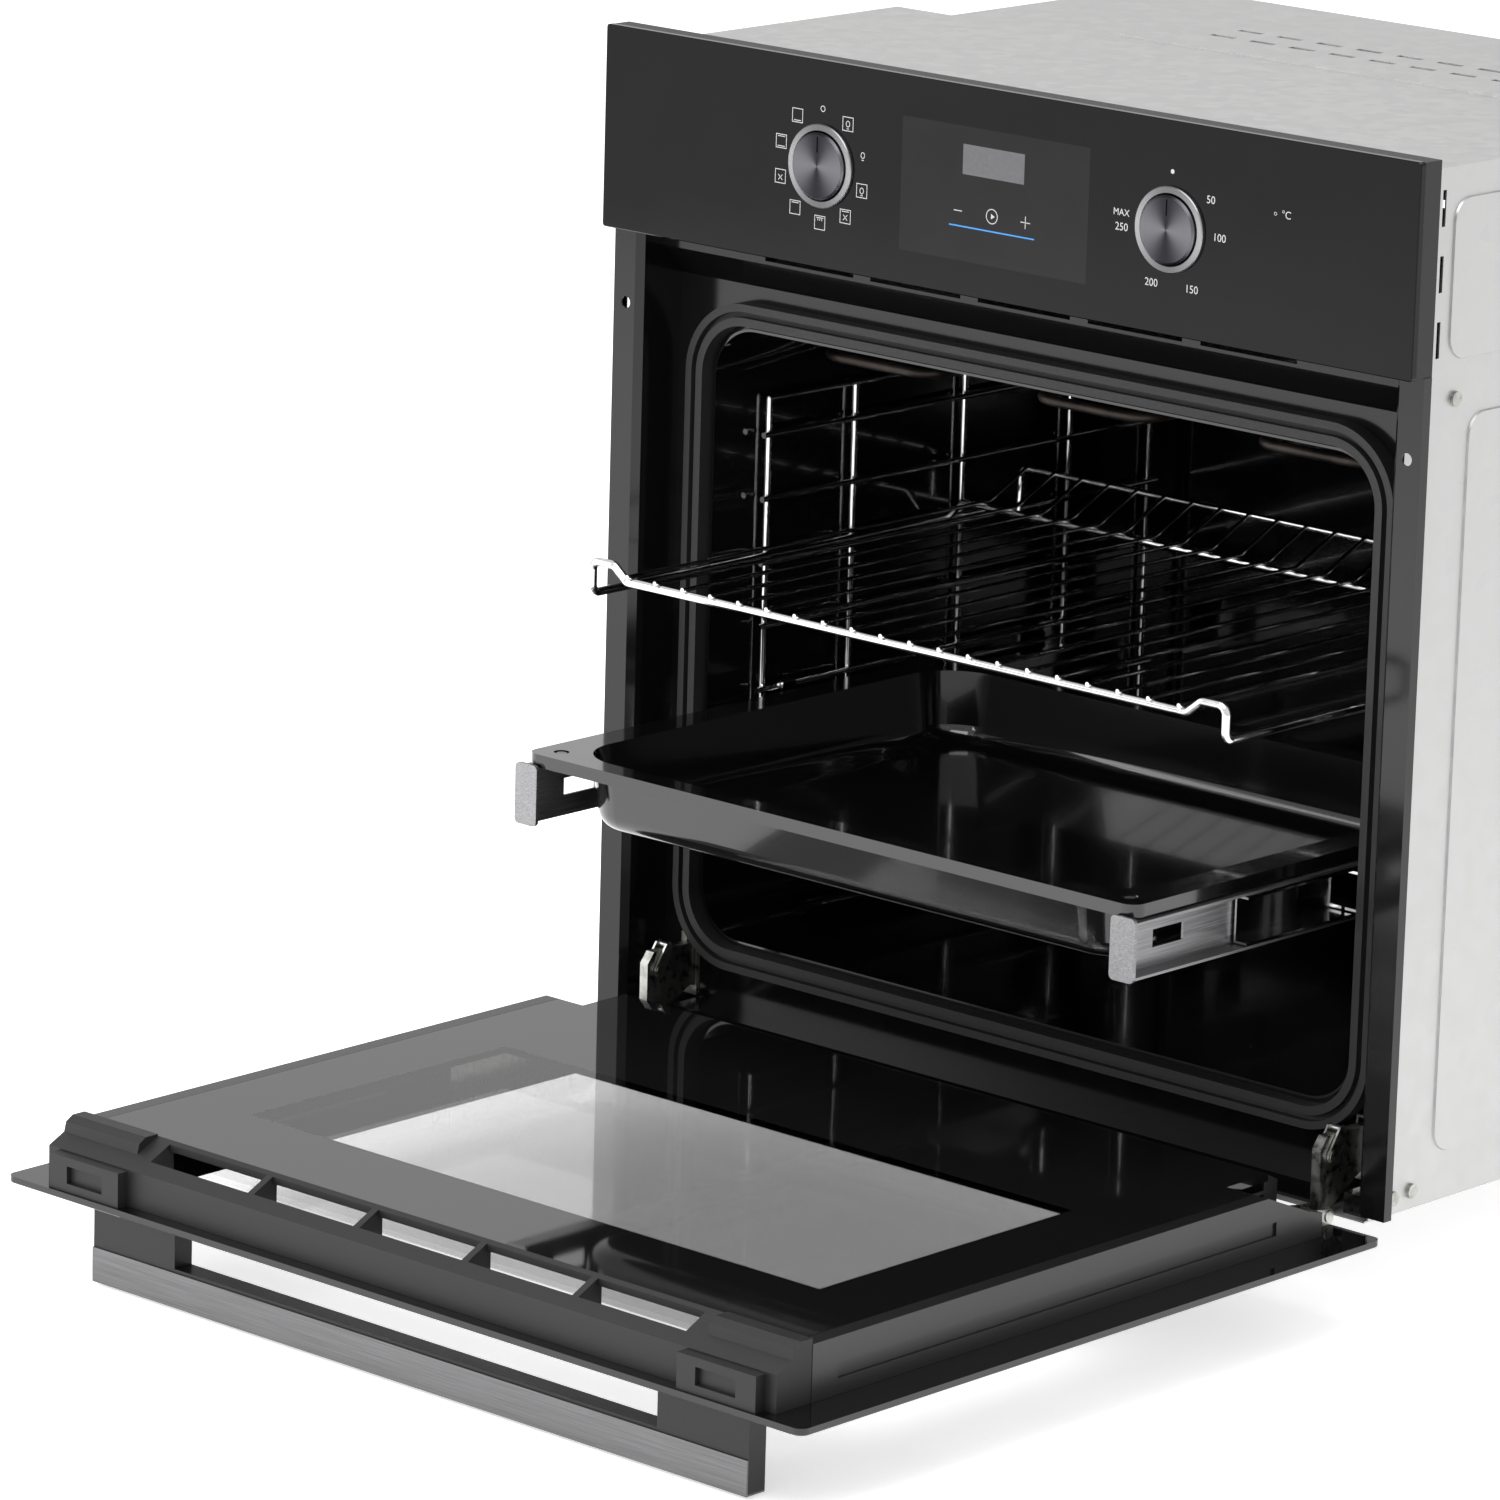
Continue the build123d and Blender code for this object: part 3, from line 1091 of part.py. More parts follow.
# ================================================================ baking tray
half_tray = tray_width / 2
tray_inner = half_tray - tray_rim
tray_middle = tray_front + tray_length / 2
tray_opening = tray_length - 2 * 14
with BuildPart() as baking_tray:
    with BuildSketch(Plane.XY.offset(tray_top - tray_wall)) as rim:
        with Locations((0, tray_middle)):
            RectangleRounded(tray_width, tray_length, 9)
    extrude(rim.sketch, amount=tray_wall)
    with BuildSketch(Plane.XY.offset(runner_top + 1)) as skirt:
        with Locations((0, tray_middle)):
            RectangleRounded(tray_width, tray_length, 9)
            RectangleRounded(tray_width - 2 * tray_wall, tray_length - 2 * tray_wall, 8, mode=Mode.SUBTRACT)
    extrude(skirt.sketch, amount=tray_top - runner_top - 1)
    with BuildSketch(Plane.XY.offset(tray_top)) as outer:
        with Locations((0, tray_middle)):
            RectangleRounded(2 * tray_inner, tray_opening, 35)
    extrude(outer.sketch, amount=-(tray_top - tray_floor), taper=tray_taper)
    fillet(baking_tray.faces().sort_by(Axis.Z)[0].edges(), tray_bend)
    with BuildPart(mode=Mode.PRIVATE) as tray_hollow:
        with BuildSketch(Plane.XY.offset(tray_top)) as hollow:
            with Locations((0, tray_middle)):
                RectangleRounded(2 * tray_inner - 2 * tray_wall, tray_opening - 2 * tray_wall, 34)
        extrude(hollow.sketch, amount=-(tray_top - tray_floor - tray_wall), taper=tray_taper)
        fillet(tray_hollow.faces().sort_by(Axis.Z)[0].edges(), tray_bend - tray_wall)
    add(tray_hollow.part, mode=Mode.SUBTRACT)
    for sign in (-1, 1):
        for y in (peg_y, tray_rear - 14.5):
            rod((sign * peg_x, y, tray_top - 3), (sign * peg_x, y, tray_top + 1), peg_radius + 1.5,
                Mode.SUBTRACT)
baking_tray.part.label = "baking_tray"
export_step(baking_tray.part, "parts/baking_tray.step")

# ================================================================ wire rack
loop_x = 228.0
with BuildPart() as wire_rack:
    # frame wire: across the back, along both sides and up into a raised loop at each front end
    frame_route = [(0, rack_rear, rack_side_z), (rack_side_x, rack_rear, rack_side_z),
                   (rack_side_x, rack_front, rack_side_z), (rack_side_x, rack_front, rack_bar_z + 8),
                   (loop_x - 10, rack_front, rack_bar_z + 8), (loop_x - 20, rack_front, rack_bar_z),
                   (0, rack_front, rack_bar_z)]
    bent_wire(frame_route, rack_frame_wire, 5)
    bent_wire([(-x, y, z) for x, y, z in frame_route], rack_frame_wire, 5)
    for place in range(grid_count):
        x = (place / (grid_count - 1) - 0.5) * grid_width
        bent_wire([(x, rack_front - 3.5, rack_grid_z), (x, rack_mid + 2, rack_grid_z),
                   (x, rack_rear + 2, rack_grid_z + 17)], rack_grid_wire, 8)
    # crosswire under the grid, its ends bent down to the side wires
    bent_wire([(-rack_side_x, rack_mid, rack_side_z), (-rack_side_x + 12, rack_mid, rack_bar_z + 0.4),
               (rack_side_x - 12, rack_mid, rack_bar_z + 0.4), (rack_side_x, rack_mid, rack_side_z)],
              rack_cross_wire, 4)
    # fence wire that ties the raised tails together
    bent_wire([(-grid_width / 2 - 6, rack_rear, rack_side_z),
               (-grid_width / 2 - 6, rack_rear + 1, rack_grid_z + 15),
               (grid_width / 2 + 6, rack_rear + 1, rack_grid_z + 15),
               (grid_width / 2 + 6, rack_rear, rack_side_z)],
              rack_fence_wire, 5)
wire_rack.part.label = "wire_rack"
export_step(wire_rack.part, "parts/wire_rack.step")
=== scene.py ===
# %% [markdown]
# # A built-in oven, dressed for its picture
# The oven arrives as a finished set of solid parts. This lesson gives every part the
# surface it has in a real kitchen, and adds the thin printed layers that no solid part
# carries: the symbols on the control panel, its display and the touch marks.

import json
from math import cos, pi, radians, sin

import bpy
from mathutils import Matrix, Vector


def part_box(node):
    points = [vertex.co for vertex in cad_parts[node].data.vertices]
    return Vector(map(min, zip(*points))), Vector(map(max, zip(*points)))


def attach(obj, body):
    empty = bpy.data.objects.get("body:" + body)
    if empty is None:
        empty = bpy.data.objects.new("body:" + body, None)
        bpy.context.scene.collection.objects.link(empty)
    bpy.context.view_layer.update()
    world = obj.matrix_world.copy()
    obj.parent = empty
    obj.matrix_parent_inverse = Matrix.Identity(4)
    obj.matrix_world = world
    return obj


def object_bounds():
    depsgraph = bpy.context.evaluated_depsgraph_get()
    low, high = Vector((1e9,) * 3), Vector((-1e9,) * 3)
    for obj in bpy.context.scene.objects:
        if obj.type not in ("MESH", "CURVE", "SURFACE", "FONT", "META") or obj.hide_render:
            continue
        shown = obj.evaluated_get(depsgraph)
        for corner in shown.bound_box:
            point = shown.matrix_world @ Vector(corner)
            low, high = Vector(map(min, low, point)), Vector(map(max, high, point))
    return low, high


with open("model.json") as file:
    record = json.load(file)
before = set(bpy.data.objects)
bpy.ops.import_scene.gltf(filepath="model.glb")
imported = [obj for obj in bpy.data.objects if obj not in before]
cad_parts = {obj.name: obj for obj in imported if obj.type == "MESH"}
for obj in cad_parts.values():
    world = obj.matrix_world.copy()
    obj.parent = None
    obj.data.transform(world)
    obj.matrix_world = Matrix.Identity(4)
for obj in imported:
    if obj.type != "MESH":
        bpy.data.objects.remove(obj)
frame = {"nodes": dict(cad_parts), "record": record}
cad_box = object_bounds()
MM = 0.001
print("parts:", len(frame["nodes"]))

# %% [markdown]
# ## Colours and nodes
# Colours are written the way a painter's chart lists them, as sRGB hex. Blender mixes
# light in linear values, so one function converts them. A second small function adds a
# shader node, sets its inputs and links it, which keeps each recipe short to read.

# %% Two helpers for every finish
def srgb(text):
    """A hex colour as linear red, green, blue and alpha."""
    parts = [int(text[i:i + 2], 16) / 255 for i in (1, 3, 5)]
    return [p / 12.92 if p <= 0.04045 else ((p + 0.055) / 1.055) ** 2.4 for p in parts] + [1.0]


def add(tree, kind, inputs=None, **settings):
    """Adds one node; an input may be a value or another node's output."""
    node = tree.nodes.new("ShaderNode" + kind)
    for name, value in settings.items():
        setattr(node, name, value)
    for name, value in (inputs or {}).items():
        socket = node.inputs[name]
        if isinstance(value, bpy.types.NodeSocket):
            tree.links.new(value, socket)
        else:
            socket.default_value = value
    return node


def finish(name, **values):
    """A new material with a Principled shader and the piece's own coordinates."""
    material = bpy.data.materials.new(name)
    material.use_nodes = True
    tree = material.node_tree
    shader = tree.nodes["Principled BSDF"]
    for key, value in values.items():
        shader.inputs[key.replace("_", " ")].default_value = value
    place = add(tree, "TexCoord").outputs["Object"]
    return material, tree, shader, place


def speckle(tree, place, size, low, high, detail=3.0):
    """Noise with grains of a size in millimetres, blended between two colours."""
    noise = add(tree, "TexNoise", {"Vector": place, "Scale": 1 / (size * MM), "Detail": detail})
    blend = add(tree, "ValToRGB", {"Fac": noise.outputs["Fac"]})
    blend.color_ramp.elements[0].position = 0.35
    blend.color_ramp.elements[0].color = srgb(low)
    blend.color_ramp.elements[1].position = 0.65
    blend.color_ramp.elements[1].color = srgb(high)
    return noise.outputs["Fac"], blend.outputs["Color"]


def relief(tree, shader, height, strength, depth):
    """Bump from a pattern; the depth is in millimetres."""
    bump = add(tree, "Bump", {"Height": height, "Strength": strength, "Distance": depth * MM})
    tree.links.new(bump.outputs["Normal"], shader.inputs["Normal"])


def vary_roughness(tree, shader, pattern, low, high):
    """Roughness that follows a pattern between two values."""
    scale = add(tree, "MapRange", {"Value": pattern, "From Min": 0.3, "From Max": 0.7,
                                   "To Min": low, "To Max": high})
    tree.links.new(scale.outputs["Result"], shader.inputs["Roughness"])


# %% [markdown]
# ## Camera, floor and light
# The oven stands on a plain pale floor in a white room. A long lens far away keeps the
# upright edges nearly parallel. The white world does most of the lighting, so that the
# black glass and enamel show soft pale reflections, and three lamps give it shape. The
# floor is a light table: it glows a little, so it stays pale under the open door.

# %% Camera
heading = radians(42.19)
downward = radians(14.0)
roll = radians(1.6)
forward = Vector((-sin(heading) * cos(downward), cos(heading) * cos(downward), -sin(downward)))
level_right = forward.cross(Vector((0, 0, 1))).normalized()
level_up = level_right.cross(forward)
right = cos(roll) * level_right + sin(roll) * level_up
up = -sin(roll) * level_right + cos(roll) * level_up
camera_data = bpy.data.cameras.new("camera")
camera_data.lens = 191.9
camera_data.sensor_width = 36
camera_data.clip_end = 50
camera = bpy.data.objects.new("camera", camera_data)
camera_turn = Matrix((right, up, -forward)).transposed().to_4x4()
camera.matrix_world = Matrix.Translation((2.8474, -3.3479, 1.3069)) @ camera_turn
bpy.context.collection.objects.link(camera)
bpy.context.scene.camera = camera
print("camera at", [round(c, 2) for c in camera.location])

# %% Floor, world and lamps
floor_gap = 2 * MM
bpy.ops.object.select_all(action="DESELECT")
bpy.ops.mesh.primitive_plane_add(size=14, location=(0, 0, cad_box[0][2] - floor_gap))
floor = bpy.context.active_object
floor.name = "floor"
pale, pale_tree, pale_shader, pale_place = finish("pale_light_table", Roughness=0.9, Emission_Strength=0.55)
pale_shader.inputs["Emission Color"].default_value = srgb("#ffffff")
grain, pale_colour = speckle(pale_tree, pale_place, 60, "#f6f6f6", "#fafafa")
pale_tree.links.new(pale_colour, pale_shader.inputs["Base Color"])
floor.data.materials.append(pale)

world = bpy.data.worlds.new("white_room")
world.use_nodes = True
world.node_tree.nodes["Background"].inputs["Color"].default_value = srgb("#ffffff")
world.node_tree.nodes["Background"].inputs["Strength"].default_value = 0.9
bpy.context.scene.world = world
bpy.context.scene.view_settings.view_transform = "Standard"


def soft_lamp(name, place, aim, size, power):
    """A large square lamp that faces a point."""
    data = bpy.data.lights.new(name, "AREA")
    data.size = size
    data.energy = power
    lamp = bpy.data.objects.new(name, data)
    lamp.location = place
    lamp.rotation_euler = (Vector(aim) - Vector(place)).to_track_quat("-Z", "Y").to_euler()
    bpy.context.collection.objects.link(lamp)


soft_lamp("top_lamp", (0.4, -1.2, 2.6), (0, 0, 0.3), 2.0, 62)
soft_lamp("left_lamp", (-2.4, -1.6, 1.2), (0, 0, 0.3), 1.6, 25)
soft_lamp("front_lamp", (-0.7, -1.9, 0.75), (-0.1, 0.1, 0.25), 0.5, 6)
print("floor, world and three lamps")

# %% [markdown]
# ## Metal finishes
# The casing is hot-dip galvanised sheet: zinc freezes on the steel in large pale
# crystals, which a Voronoi pattern gives. Fittings are zinc-plated, which is smoother and
# greyer. The wire shelves are chromed and mirror almost everything, and the
# heater tubes are steel that has gone brown-black with heat.

# %% Metals
galvanised, tree, shader, place = finish("galvanised_steel_sheet", Metallic=0.9)
crystal = add(tree, "TexVoronoi", {"Vector": place, "Scale": 1 / (9 * MM)})
tone = add(tree, "ValToRGB", {"Fac": crystal.outputs["Color"]})
tone.color_ramp.elements[0].color = srgb("#b4b4b4")
tone.color_ramp.elements[1].color = srgb("#bdbdbc")
tree.links.new(tone.outputs["Color"], shader.inputs["Base Color"])
vary_roughness(tree, shader, crystal.outputs["Color"], 0.42, 0.52)

zinc, tree, shader, place = finish("zinc_plated_steel", Metallic=1.0)
grain, colour = speckle(tree, place, 6, "#8f8f8b", "#b6b6b1")
tree.links.new(colour, shader.inputs["Base Color"])
vary_roughness(tree, shader, grain, 0.22, 0.38)

chrome, tree, shader, place = finish("chromed_wire", Metallic=1.0)
grain, colour = speckle(tree, place, 14, "#cfcfd0", "#e6e6e7")
tree.links.new(colour, shader.inputs["Base Color"])
vary_roughness(tree, shader, grain, 0.06, 0.13)

sheath, tree, shader, place = finish("heat_darkened_tube", Metallic=0.8)
grain, colour = speckle(tree, place, 20, "#241f1c", "#3a3430")
tree.links.new(colour, shader.inputs["Base Color"])
vary_roughness(tree, shader, grain, 0.32, 0.5)


def brushed(name, low, high, stretch, roughness):
    """Metal with scratches drawn out along one direction."""
    material, tree, shader, place = finish(name, Metallic=1.0)
    drawn = add(tree, "Mapping", {"Vector": place, "Scale": stretch})
    scratches, colour = speckle(tree, drawn.outputs["Vector"], 1.0, low, high, detail=6.0)
    tree.links.new(colour, shader.inputs["Base Color"])
    vary_roughness(tree, shader, scratches, roughness, roughness + 0.12)
    relief(tree, shader, scratches, 0.15, 0.02)
    return material


stainless = brushed("brushed_stainless_steel", "#626263", "#727273", (0.02, 2.0, 2.0), 0.26)
cast = brushed("pressed_aluminium", "#b9b9ba", "#cfcfd0", (0.1, 1.0, 1.0), 0.35)


def turned(name, centre_x, low, high):
    """Metal faced on a lathe: fine rings about the knob's own axis, and a painted highlight in four light and
    dark lobes round it.
    """
    material, tree, shader, place = finish(name, Metallic=1.0)
    centred = add(tree, "Mapping", {"Vector": place, "Location": (-centre_x, 0, -knob_z)})
    rings = add(tree, "TexWave",
                {"Vector": centred.outputs["Vector"], "Scale": 1 / (2.6 * MM), "Distortion": 0.4},
                wave_type="RINGS", rings_direction="Y")
    # painted highlight: a radial gradient folded by a cosine into four lobes makes the colour lighter and
    # darker round the axis, standing in for the bright sectors spun metal reflects
    highlight_sweep = add(tree, "Mapping", {"Vector": centred.outputs["Vector"], "Rotation": (radians(90), 0, 0)})
    fan = add(tree, "TexGradient", {"Vector": highlight_sweep.outputs["Vector"]}, gradient_type="RADIAL")
    highlight_lobes = add(tree, "Math", {0: fan.outputs["Fac"], 1: 4 * pi}, operation="MULTIPLY")
    painted_highlight = add(tree, "Math", {0: highlight_lobes.outputs[0]}, operation="COSINE")
    highlight_spread = add(tree, "MapRange", {"Value": painted_highlight.outputs[0], "From Min": -1.0, "From Max": 1.0})
    tone = add(tree, "ValToRGB", {"Fac": highlight_spread.outputs["Result"]})
    tone.color_ramp.elements[0].color = srgb(low)
    tone.color_ramp.elements[1].color = srgb(high)
    tree.links.new(tone.outputs["Color"], shader.inputs["Base Color"])
    vary_roughness(tree, shader, rings.outputs["Fac"], 0.28, 0.42)
    relief(tree, shader, rings.outputs["Fac"], 0.2, 0.02)
    return material


knob_low, knob_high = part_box("selector_knob")
knob_z = (knob_low[2] + knob_high[2]) / 2
knob_x = -(knob_low[0] + knob_high[0]) / 2
# knob faces and rings carry the painted highlight lobes in their colour
knob_left = turned("spun_aluminium_painted_highlight_left", -knob_x, "#26262a", "#626266")
knob_right = turned("spun_aluminium_painted_highlight_right", knob_x, "#26262a", "#626266")
satin = brushed("satin_stainless_slide", "#7a7a7b", "#98989a", (1.0, 0.03, 2.0), 0.34)
ring_left = turned("turned_ring_painted_highlight_left", -knob_x, "#606062", "#8c8c8e")
ring_right = turned("turned_ring_painted_highlight_right", knob_x, "#606062", "#8c8c8e")
print("metals mixed")

# %% [markdown]
# ## Enamel, paint, plastic and rubber
# Enamel is glass fired onto steel: nearly black, very glossy, with a faint orange-peel
# wave and tiny pale specks. The front frame has the same enamel. The door's trims are
# moulded plastic with a fine grain, and the seal is dull rubber.

# %% Dark coatings
def coating(name, low, high, grain_mm, roughness, wave_mm, wave_depth, **values):
    """A coloured surface with fine specks and a slow wave in its skin."""
    material, tree, shader, place = finish(name, **values)
    grain, colour = speckle(tree, place, grain_mm, low, high)
    tree.links.new(colour, shader.inputs["Base Color"])
    vary_roughness(tree, shader, grain, roughness, roughness * 1.35)
    wave = add(tree, "TexNoise", {"Vector": place, "Scale": 1 / (wave_mm * MM)})
    relief(tree, shader, wave.outputs["Fac"], 0.3, wave_depth)
    return material


enamel = coating("fired_black_enamel", "#050506", "#0b0b0c", 0.8, 0.09, 9, 0.06, Coat_Weight=0.4)
frame_paint = coating("black_enamelled_frame", "#080809", "#0e0e0f", 0.8, 0.12, 12, 0.03, IOR=1.42)
column_paint = coating("satin_black_lacquer", "#111112", "#19191a", 1.2, 0.28, 4, 0.03)
abs_black = coating("grained_black_plastic", "#151516", "#1e1e1f", 0.9, 0.42, 0.8, 0.05, IOR=1.4)
bar_black = coating("smooth_black_plastic", "#0e0e0f", "#141415", 1.5, 0.35, 3, 0.02, IOR=1.4)
seal_rubber = coating("silicone_door_seal", "#0e0e0f", "#171718", 1.0, 0.55, 1.5, 0.05)
grey_plastic = coating("grey_moulded_plastic", "#4a4a4c", "#555557", 1.0, 0.42, 1.2, 0.03)
beige_plastic = coating("cream_switch_plastic", "#cdc6b4", "#d8d2c2", 1.5, 0.4, 1.5, 0.03)
wool = coating("mineral_wool_felt", "#b9ad84", "#d9cfa9", 3.0, 0.9, 2.0, 1.2)
print("coatings mixed")

# %% [markdown]
# ## Glass
# The panel's glass is painted black on its back, so it is opaque and mirror-smooth. The
# door's panes have a printed border and a clear window in the middle. Inside the window
# the pane lets light through and mirrors the rest, more so at a low angle: Fresnel sets
# how much of it stays. Only the face towards the light does this. Seen from inside the
# glass, Fresnel would turn the far face into a full mirror and the window black.

# %% Panes
def pane(name, border, window_tint, least, gain, half_x, centre_y, half_y):
    """A door pane: printed black outside a rectangular window, mirror-clear inside it."""
    material, tree, shader, place = finish(name, Roughness=0.03, IOR=1.52)
    axes = add(tree, "SeparateXYZ", {"Vector": place})
    across = add(tree, "Math", {0: axes.outputs["X"]}, operation="ABSOLUTE")
    inside_x = add(tree, "Math", {0: across.outputs[0], 1: half_x}, operation="LESS_THAN")
    along = add(tree, "Math", {0: axes.outputs["Y"], 1: centre_y}, operation="SUBTRACT")
    depth = add(tree, "Math", {0: along.outputs[0]}, operation="ABSOLUTE")
    inside_y = add(tree, "Math", {0: depth.outputs[0], 1: half_y}, operation="LESS_THAN")
    window = add(tree, "Math", {0: inside_x.outputs[0], 1: inside_y.outputs[0]},
                 operation="MULTIPLY").outputs[0]
    glance = add(tree, "Fresnel", {"IOR": 1.52})
    mirror = add(tree, "Math", {0: glance.outputs[0], 1: gain, 2: least},
                 operation="MULTIPLY_ADD", use_clamp=True)
    solid = add(tree, "Math", {0: 1.0, 1: window}, operation="SUBTRACT")
    reverse = add(tree, "NewGeometry").outputs["Backfacing"]
    outside = add(tree, "Math", {0: window, 1: reverse}, operation="GREATER_THAN")
    alpha = add(tree, "Math", {0: outside.outputs[0], 1: mirror.outputs[0], 2: solid.outputs[0]},
                operation="MULTIPLY_ADD")
    smear, smear_colour = speckle(tree, place, 90, border, border)
    tint = add(tree, "MixRGB", {"Fac": window, "Color1": smear_colour, "Color2": srgb(window_tint)})
    tree.links.new(tint.outputs["Color"], shader.inputs["Base Color"])
    tree.links.new(window, shader.inputs["Metallic"])
    tree.links.new(alpha.outputs[0], shader.inputs["Alpha"])
    vary_roughness(tree, shader, smear, 0.02, 0.05)
    return material


window_half = 213 * MM
inner_pane = pane("printed_inner_pane", "#101011", "#c0c0c0", 0.08, 1.1, window_half, -274.5 * MM, 101.5 * MM)
middle_pane = pane("clear_float_glass", "#101011", "#c0c0c0", 0.05, 0.8, 1.0, 0.0, 1.0)
outer_pane = pane("tinted_outer_pane", "#0a0a0b", "#b0b0b0", 0.25, 0.8, 232 * MM, -275 * MM, 188 * MM)
panel_glass = coating("back_painted_glass", "#070708", "#090909", 40, 0.035, 160, 0.02, IOR=1.27)
lamp_lens = pane("pressed_lamp_glass", "#e8e8e2", "#e8e8e2", 0.35, 1.0, 1.0, 0.0, 1.0)
print("glass mixed")

# %% Hand the finishes out
finish_of_slot = {
    "galvanised_sheet": galvanised, "zinc_plated_steel": zinc, "black_enamel": enamel,
    "black_painted_steel": frame_paint, "mineral_wool": wool, "seal_rubber": seal_rubber,
    "black_glass": panel_glass, "lamp_glass": lamp_lens, "black_plastic": abs_black,
    "grey_plastic": grey_plastic, "beige_plastic": beige_plastic, "stainless_trim": stainless,
    "chrome_wire": chrome, "heater_sheath": sheath, "aluminium_cast": cast,
}
finish_of_node = {
    "door_outer_glass": outer_pane, "door_inner_glass": inner_pane, "door_middle_glass": middle_pane,
    "selector_knob": knob_left, "thermostat_knob": knob_right, "knob_well_left": ring_left,
    "knob_well_right": ring_right, "door_column_left": column_paint, "door_column_right": column_paint,
    "door_bottom_rail": column_paint, "handle_bar": bar_black, "runner_slide_left": satin,
    "runner_slide_right": satin,
}
for entry in frame["record"]["subparts"]:
    material = finish_of_node.get(entry["node"]) or finish_of_slot[entry["material_slot"]]
    part = frame["nodes"][entry["node"]]
    if not part.material_slots:
        part.data.materials.append(material)
    for slot in part.material_slots:
        slot.material = material
print("finishes handed out")

# %% [markdown]
# ## The printed control panel
# The symbols are ink on the glass: layers a few hundredths of a millimetre thick. Each
# is a flat primitive, shaped in edit mode, and the layers that share an ink are joined
# into one piece and given their thickness at the end.

# %% Inks
grey_ink, tree, shader, place = finish("pale_grey_screen_ink", Roughness=0.5)
grain, colour = speckle(tree, place, 0.6, "#9c9c9c", "#b2b2b2")
tree.links.new(colour, shader.inputs["Base Color"])
blue_ink, tree, shader, place = finish("blue_screen_ink", Roughness=0.4)
grain, colour = speckle(tree, place, 0.6, "#1b6fb0", "#2a86cc")
tree.links.new(colour, shader.inputs["Base Color"])
field_ink, tree, shader, place = finish("smoked_film_ink", Roughness=0.06, IOR=1.27)
grain, colour = speckle(tree, place, 30, "#161617", "#19191a")
tree.links.new(colour, shader.inputs["Base Color"])
lens_ink, tree, shader, place = finish("smoked_display_lens", Roughness=0.12)
grain, colour = speckle(tree, place, 2, "#4e4e50", "#525254")
tree.links.new(colour, shader.inputs["Base Color"])

# %% Flat shapes on the glass
panel_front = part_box("control_panel_glass")[0][1]
layer = 0.02 * MM
ink_depth = 0.03 * MM


def flat(sides_of_shape, x, z, width, height, lift=1, turn=0.0):
    """A flat shape facing the user: four sides give a bar, many give a disc."""
    bpy.ops.object.select_all(action="DESELECT")
    place = (x, panel_front - lift * layer, z)
    if sides_of_shape == 4:
        bpy.ops.mesh.primitive_plane_add(size=1, location=place, rotation=(radians(90), turn, 0))
    else:
        bpy.ops.mesh.primitive_circle_add(vertices=sides_of_shape, radius=0.5, fill_type="NGON",
                                          location=place,
                                          rotation=(radians(90), turn, 0))
    shape = bpy.context.active_object
    shape.scale = (width, height, 1)
    bpy.ops.object.transform_apply(location=True, rotation=True, scale=True)
    return shape


def outline(sides_of_shape, x, z, width, height, line):
    """The same flat shape as a thin outline: inset, then the middle face removed."""
    shape = flat(sides_of_shape, x, z, width, height)
    bpy.ops.object.mode_set(mode="EDIT")
    bpy.ops.mesh.select_all(action="SELECT")
    bpy.ops.mesh.inset(thickness=line)
    bpy.ops.mesh.delete(type="FACE")
    bpy.ops.object.mode_set(mode="OBJECT")
    return shape


def lettering(text, x, z, size):
    """Plain figures, turned from a text curve into a flat mesh."""
    bpy.ops.object.select_all(action="DESELECT")
    bpy.ops.object.text_add(location=(x, panel_front - layer, z), rotation=(radians(90), 0, 0))
    words = bpy.context.active_object
    words.data.body = text
    words.data.size = size
    words.data.align_x = "CENTER"
    words.data.align_y = "CENTER"
    words.data.resolution_u = 4
    bpy.ops.object.convert(target="MESH")
    bpy.ops.object.transform_apply(location=True, rotation=True, scale=True)
    return bpy.context.active_object


def gather(name, shapes, material):
    """Joins flat shapes into one printed piece and gives it its thickness."""
    bpy.ops.object.select_all(action="DESELECT")
    for shape in shapes:
        shape.select_set(True)
    bpy.context.view_layer.objects.active = shapes[0]
    if len(shapes) > 1:
        bpy.ops.object.join()
    piece = bpy.context.active_object
    piece.name = name
    piece.data.materials.clear()
    piece.data.materials.append(material)
    bpy.ops.object.transform_apply(location=True, rotation=True, scale=True)
    solid = piece.modifiers.new("thickness", "SOLIDIFY")
    solid.thickness = ink_depth
    solid.offset = 1
    bpy.ops.object.modifier_apply(modifier=solid.name)
    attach(piece, "oven")
    print(name, len(piece.data.polygons), "faces")
    return piece


# %% [markdown]
# Around the left knob sit ten symbols, 36 degrees apart: a small open ring for off, then
# squares that stand for the oven's inside, with a bar at the top for the grill, a bar at
# the bottom for the lower heater, and a cross for the fan.

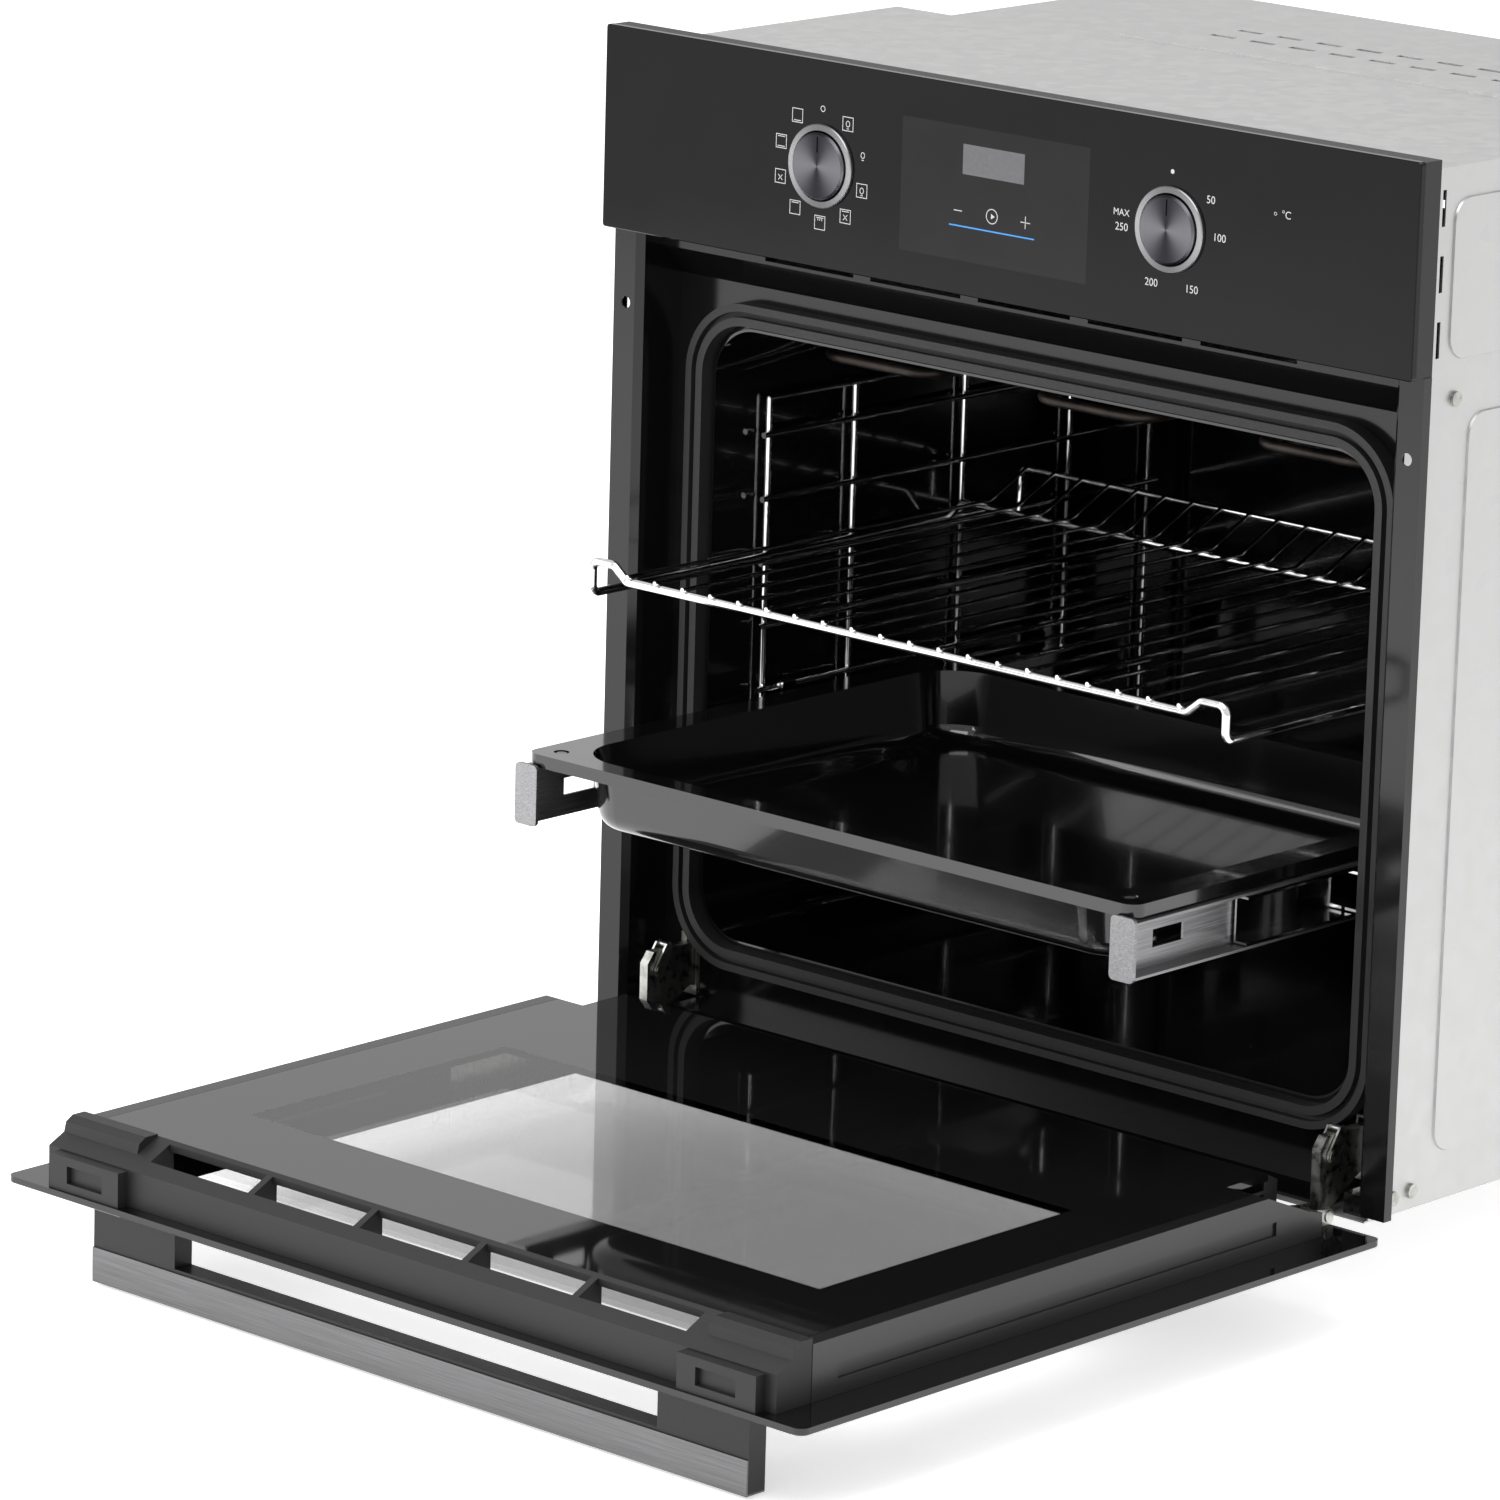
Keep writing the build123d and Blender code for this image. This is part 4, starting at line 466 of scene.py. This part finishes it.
# %% Symbols round the selector
line = 0.45 * MM
icon = 8.2 * MM
dial_radius = 32.6 * MM
marks = []
for place_number, signs in enumerate(("off", "lamp", "drop", "box drop", "box fan top", "box grill",
                                      "box top",
                                      "box fan", "box top bottom", "box bottom")):
    turn = radians(36 * place_number)
    x = -knob_x + dial_radius * sin(turn)
    z = knob_z + dial_radius * cos(turn)
    if signs == "off":
        marks.append(outline(24, x, z, 3.6 * MM, 3.6 * MM, line))
        continue
    if signs != "drop":
        marks.append(outline(4, x, z, icon, icon, line))
    if "lamp" in signs or "drop" in signs:
        marks.append(outline(16, x, z, 3.2 * MM, 3.8 * MM, line))
        marks.append(flat(4, x, z - 2.7 * MM, 1.8 * MM, line))
    if "fan" in signs:
        marks.append(flat(4, x, z - 0.6 * MM, 4.4 * MM, line, turn=radians(45)))
        marks.append(flat(4, x, z - 0.6 * MM, 4.4 * MM, line, turn=radians(-45)))
    if "top" in signs or "grill" in signs:
        marks.append(flat(4, x, z + 2.8 * MM, 5.4 * MM, line))
    if "grill" in signs:
        for step in (-1.5, 0, 1.5):
            marks.append(flat(4, x + step * MM, z + 1.9 * MM, line, 1.6 * MM))
    if "bottom" in signs:
        marks.append(flat(4, x, z - 2.8 * MM, 5.4 * MM, line))
print(len(marks), "marks round the selector")

# %% Scale round the thermostat, touch marks and display
scale = (("50", 27.5, 20.0), ("100", 34.5, 0.0), ("150", 16.5, -31.0), ("200", -12.0, -31.0),
         ("250", -34.5, -3.5))
for text, across, above in scale:
    marks.append(lettering(text, knob_x + across * MM, knob_z + above * MM, 6.2 * MM))
marks.append(lettering("MAX", knob_x - 35 * MM, knob_z + 4.5 * MM, 5.4 * MM))
marks.append(flat(20, knob_x, knob_z + 32 * MM, 2.6 * MM, 2.6 * MM))
unit_z = 554 * MM
marks.append(lettering("°C", 208 * MM, unit_z, 6.0 * MM))
marks.append(outline(16, 200.5 * MM, unit_z, 2.0 * MM, 2.0 * MM, 0.3 * MM))
touch_z = 524 * MM
marks.append(flat(4, -25 * MM, touch_z, 6 * MM, 0.5 * MM, lift=4))
marks.append(flat(4, 24.5 * MM, touch_z, 7 * MM, 0.5 * MM, lift=4))
marks.append(flat(4, 24.5 * MM, touch_z, 0.5 * MM, 7 * MM, lift=4))
ring = outline(28, 0, touch_z, 8.6 * MM, 8.6 * MM, 0.5 * MM)
arrow = flat(3, 0.3 * MM, touch_z, 3.6 * MM, 3.6 * MM, lift=4, turn=radians(90))
for vertex in ring.data.vertices:
    vertex.co.y -= 3 * layer
marks += [ring, arrow]
gather("panel_symbols", marks, grey_ink)

film_x = 0.8 * MM
film_z = 534 * MM
film = flat(4, film_x, film_z, 137.5 * MM, 76 * MM)
gather("panel_film", [film], field_ink)
lens_z = 553.5 * MM
lens = flat(4, 0, lens_z, 45 * MM, 17 * MM, lift=3)
gather("display_lens", [lens], lens_ink)
line_z = 515.5 * MM
bar = flat(4, 0, line_z, 62.5 * MM, 0.8 * MM, lift=4)
gather("touch_line", [bar], blue_ink)

# %% End
print("panel printing done")
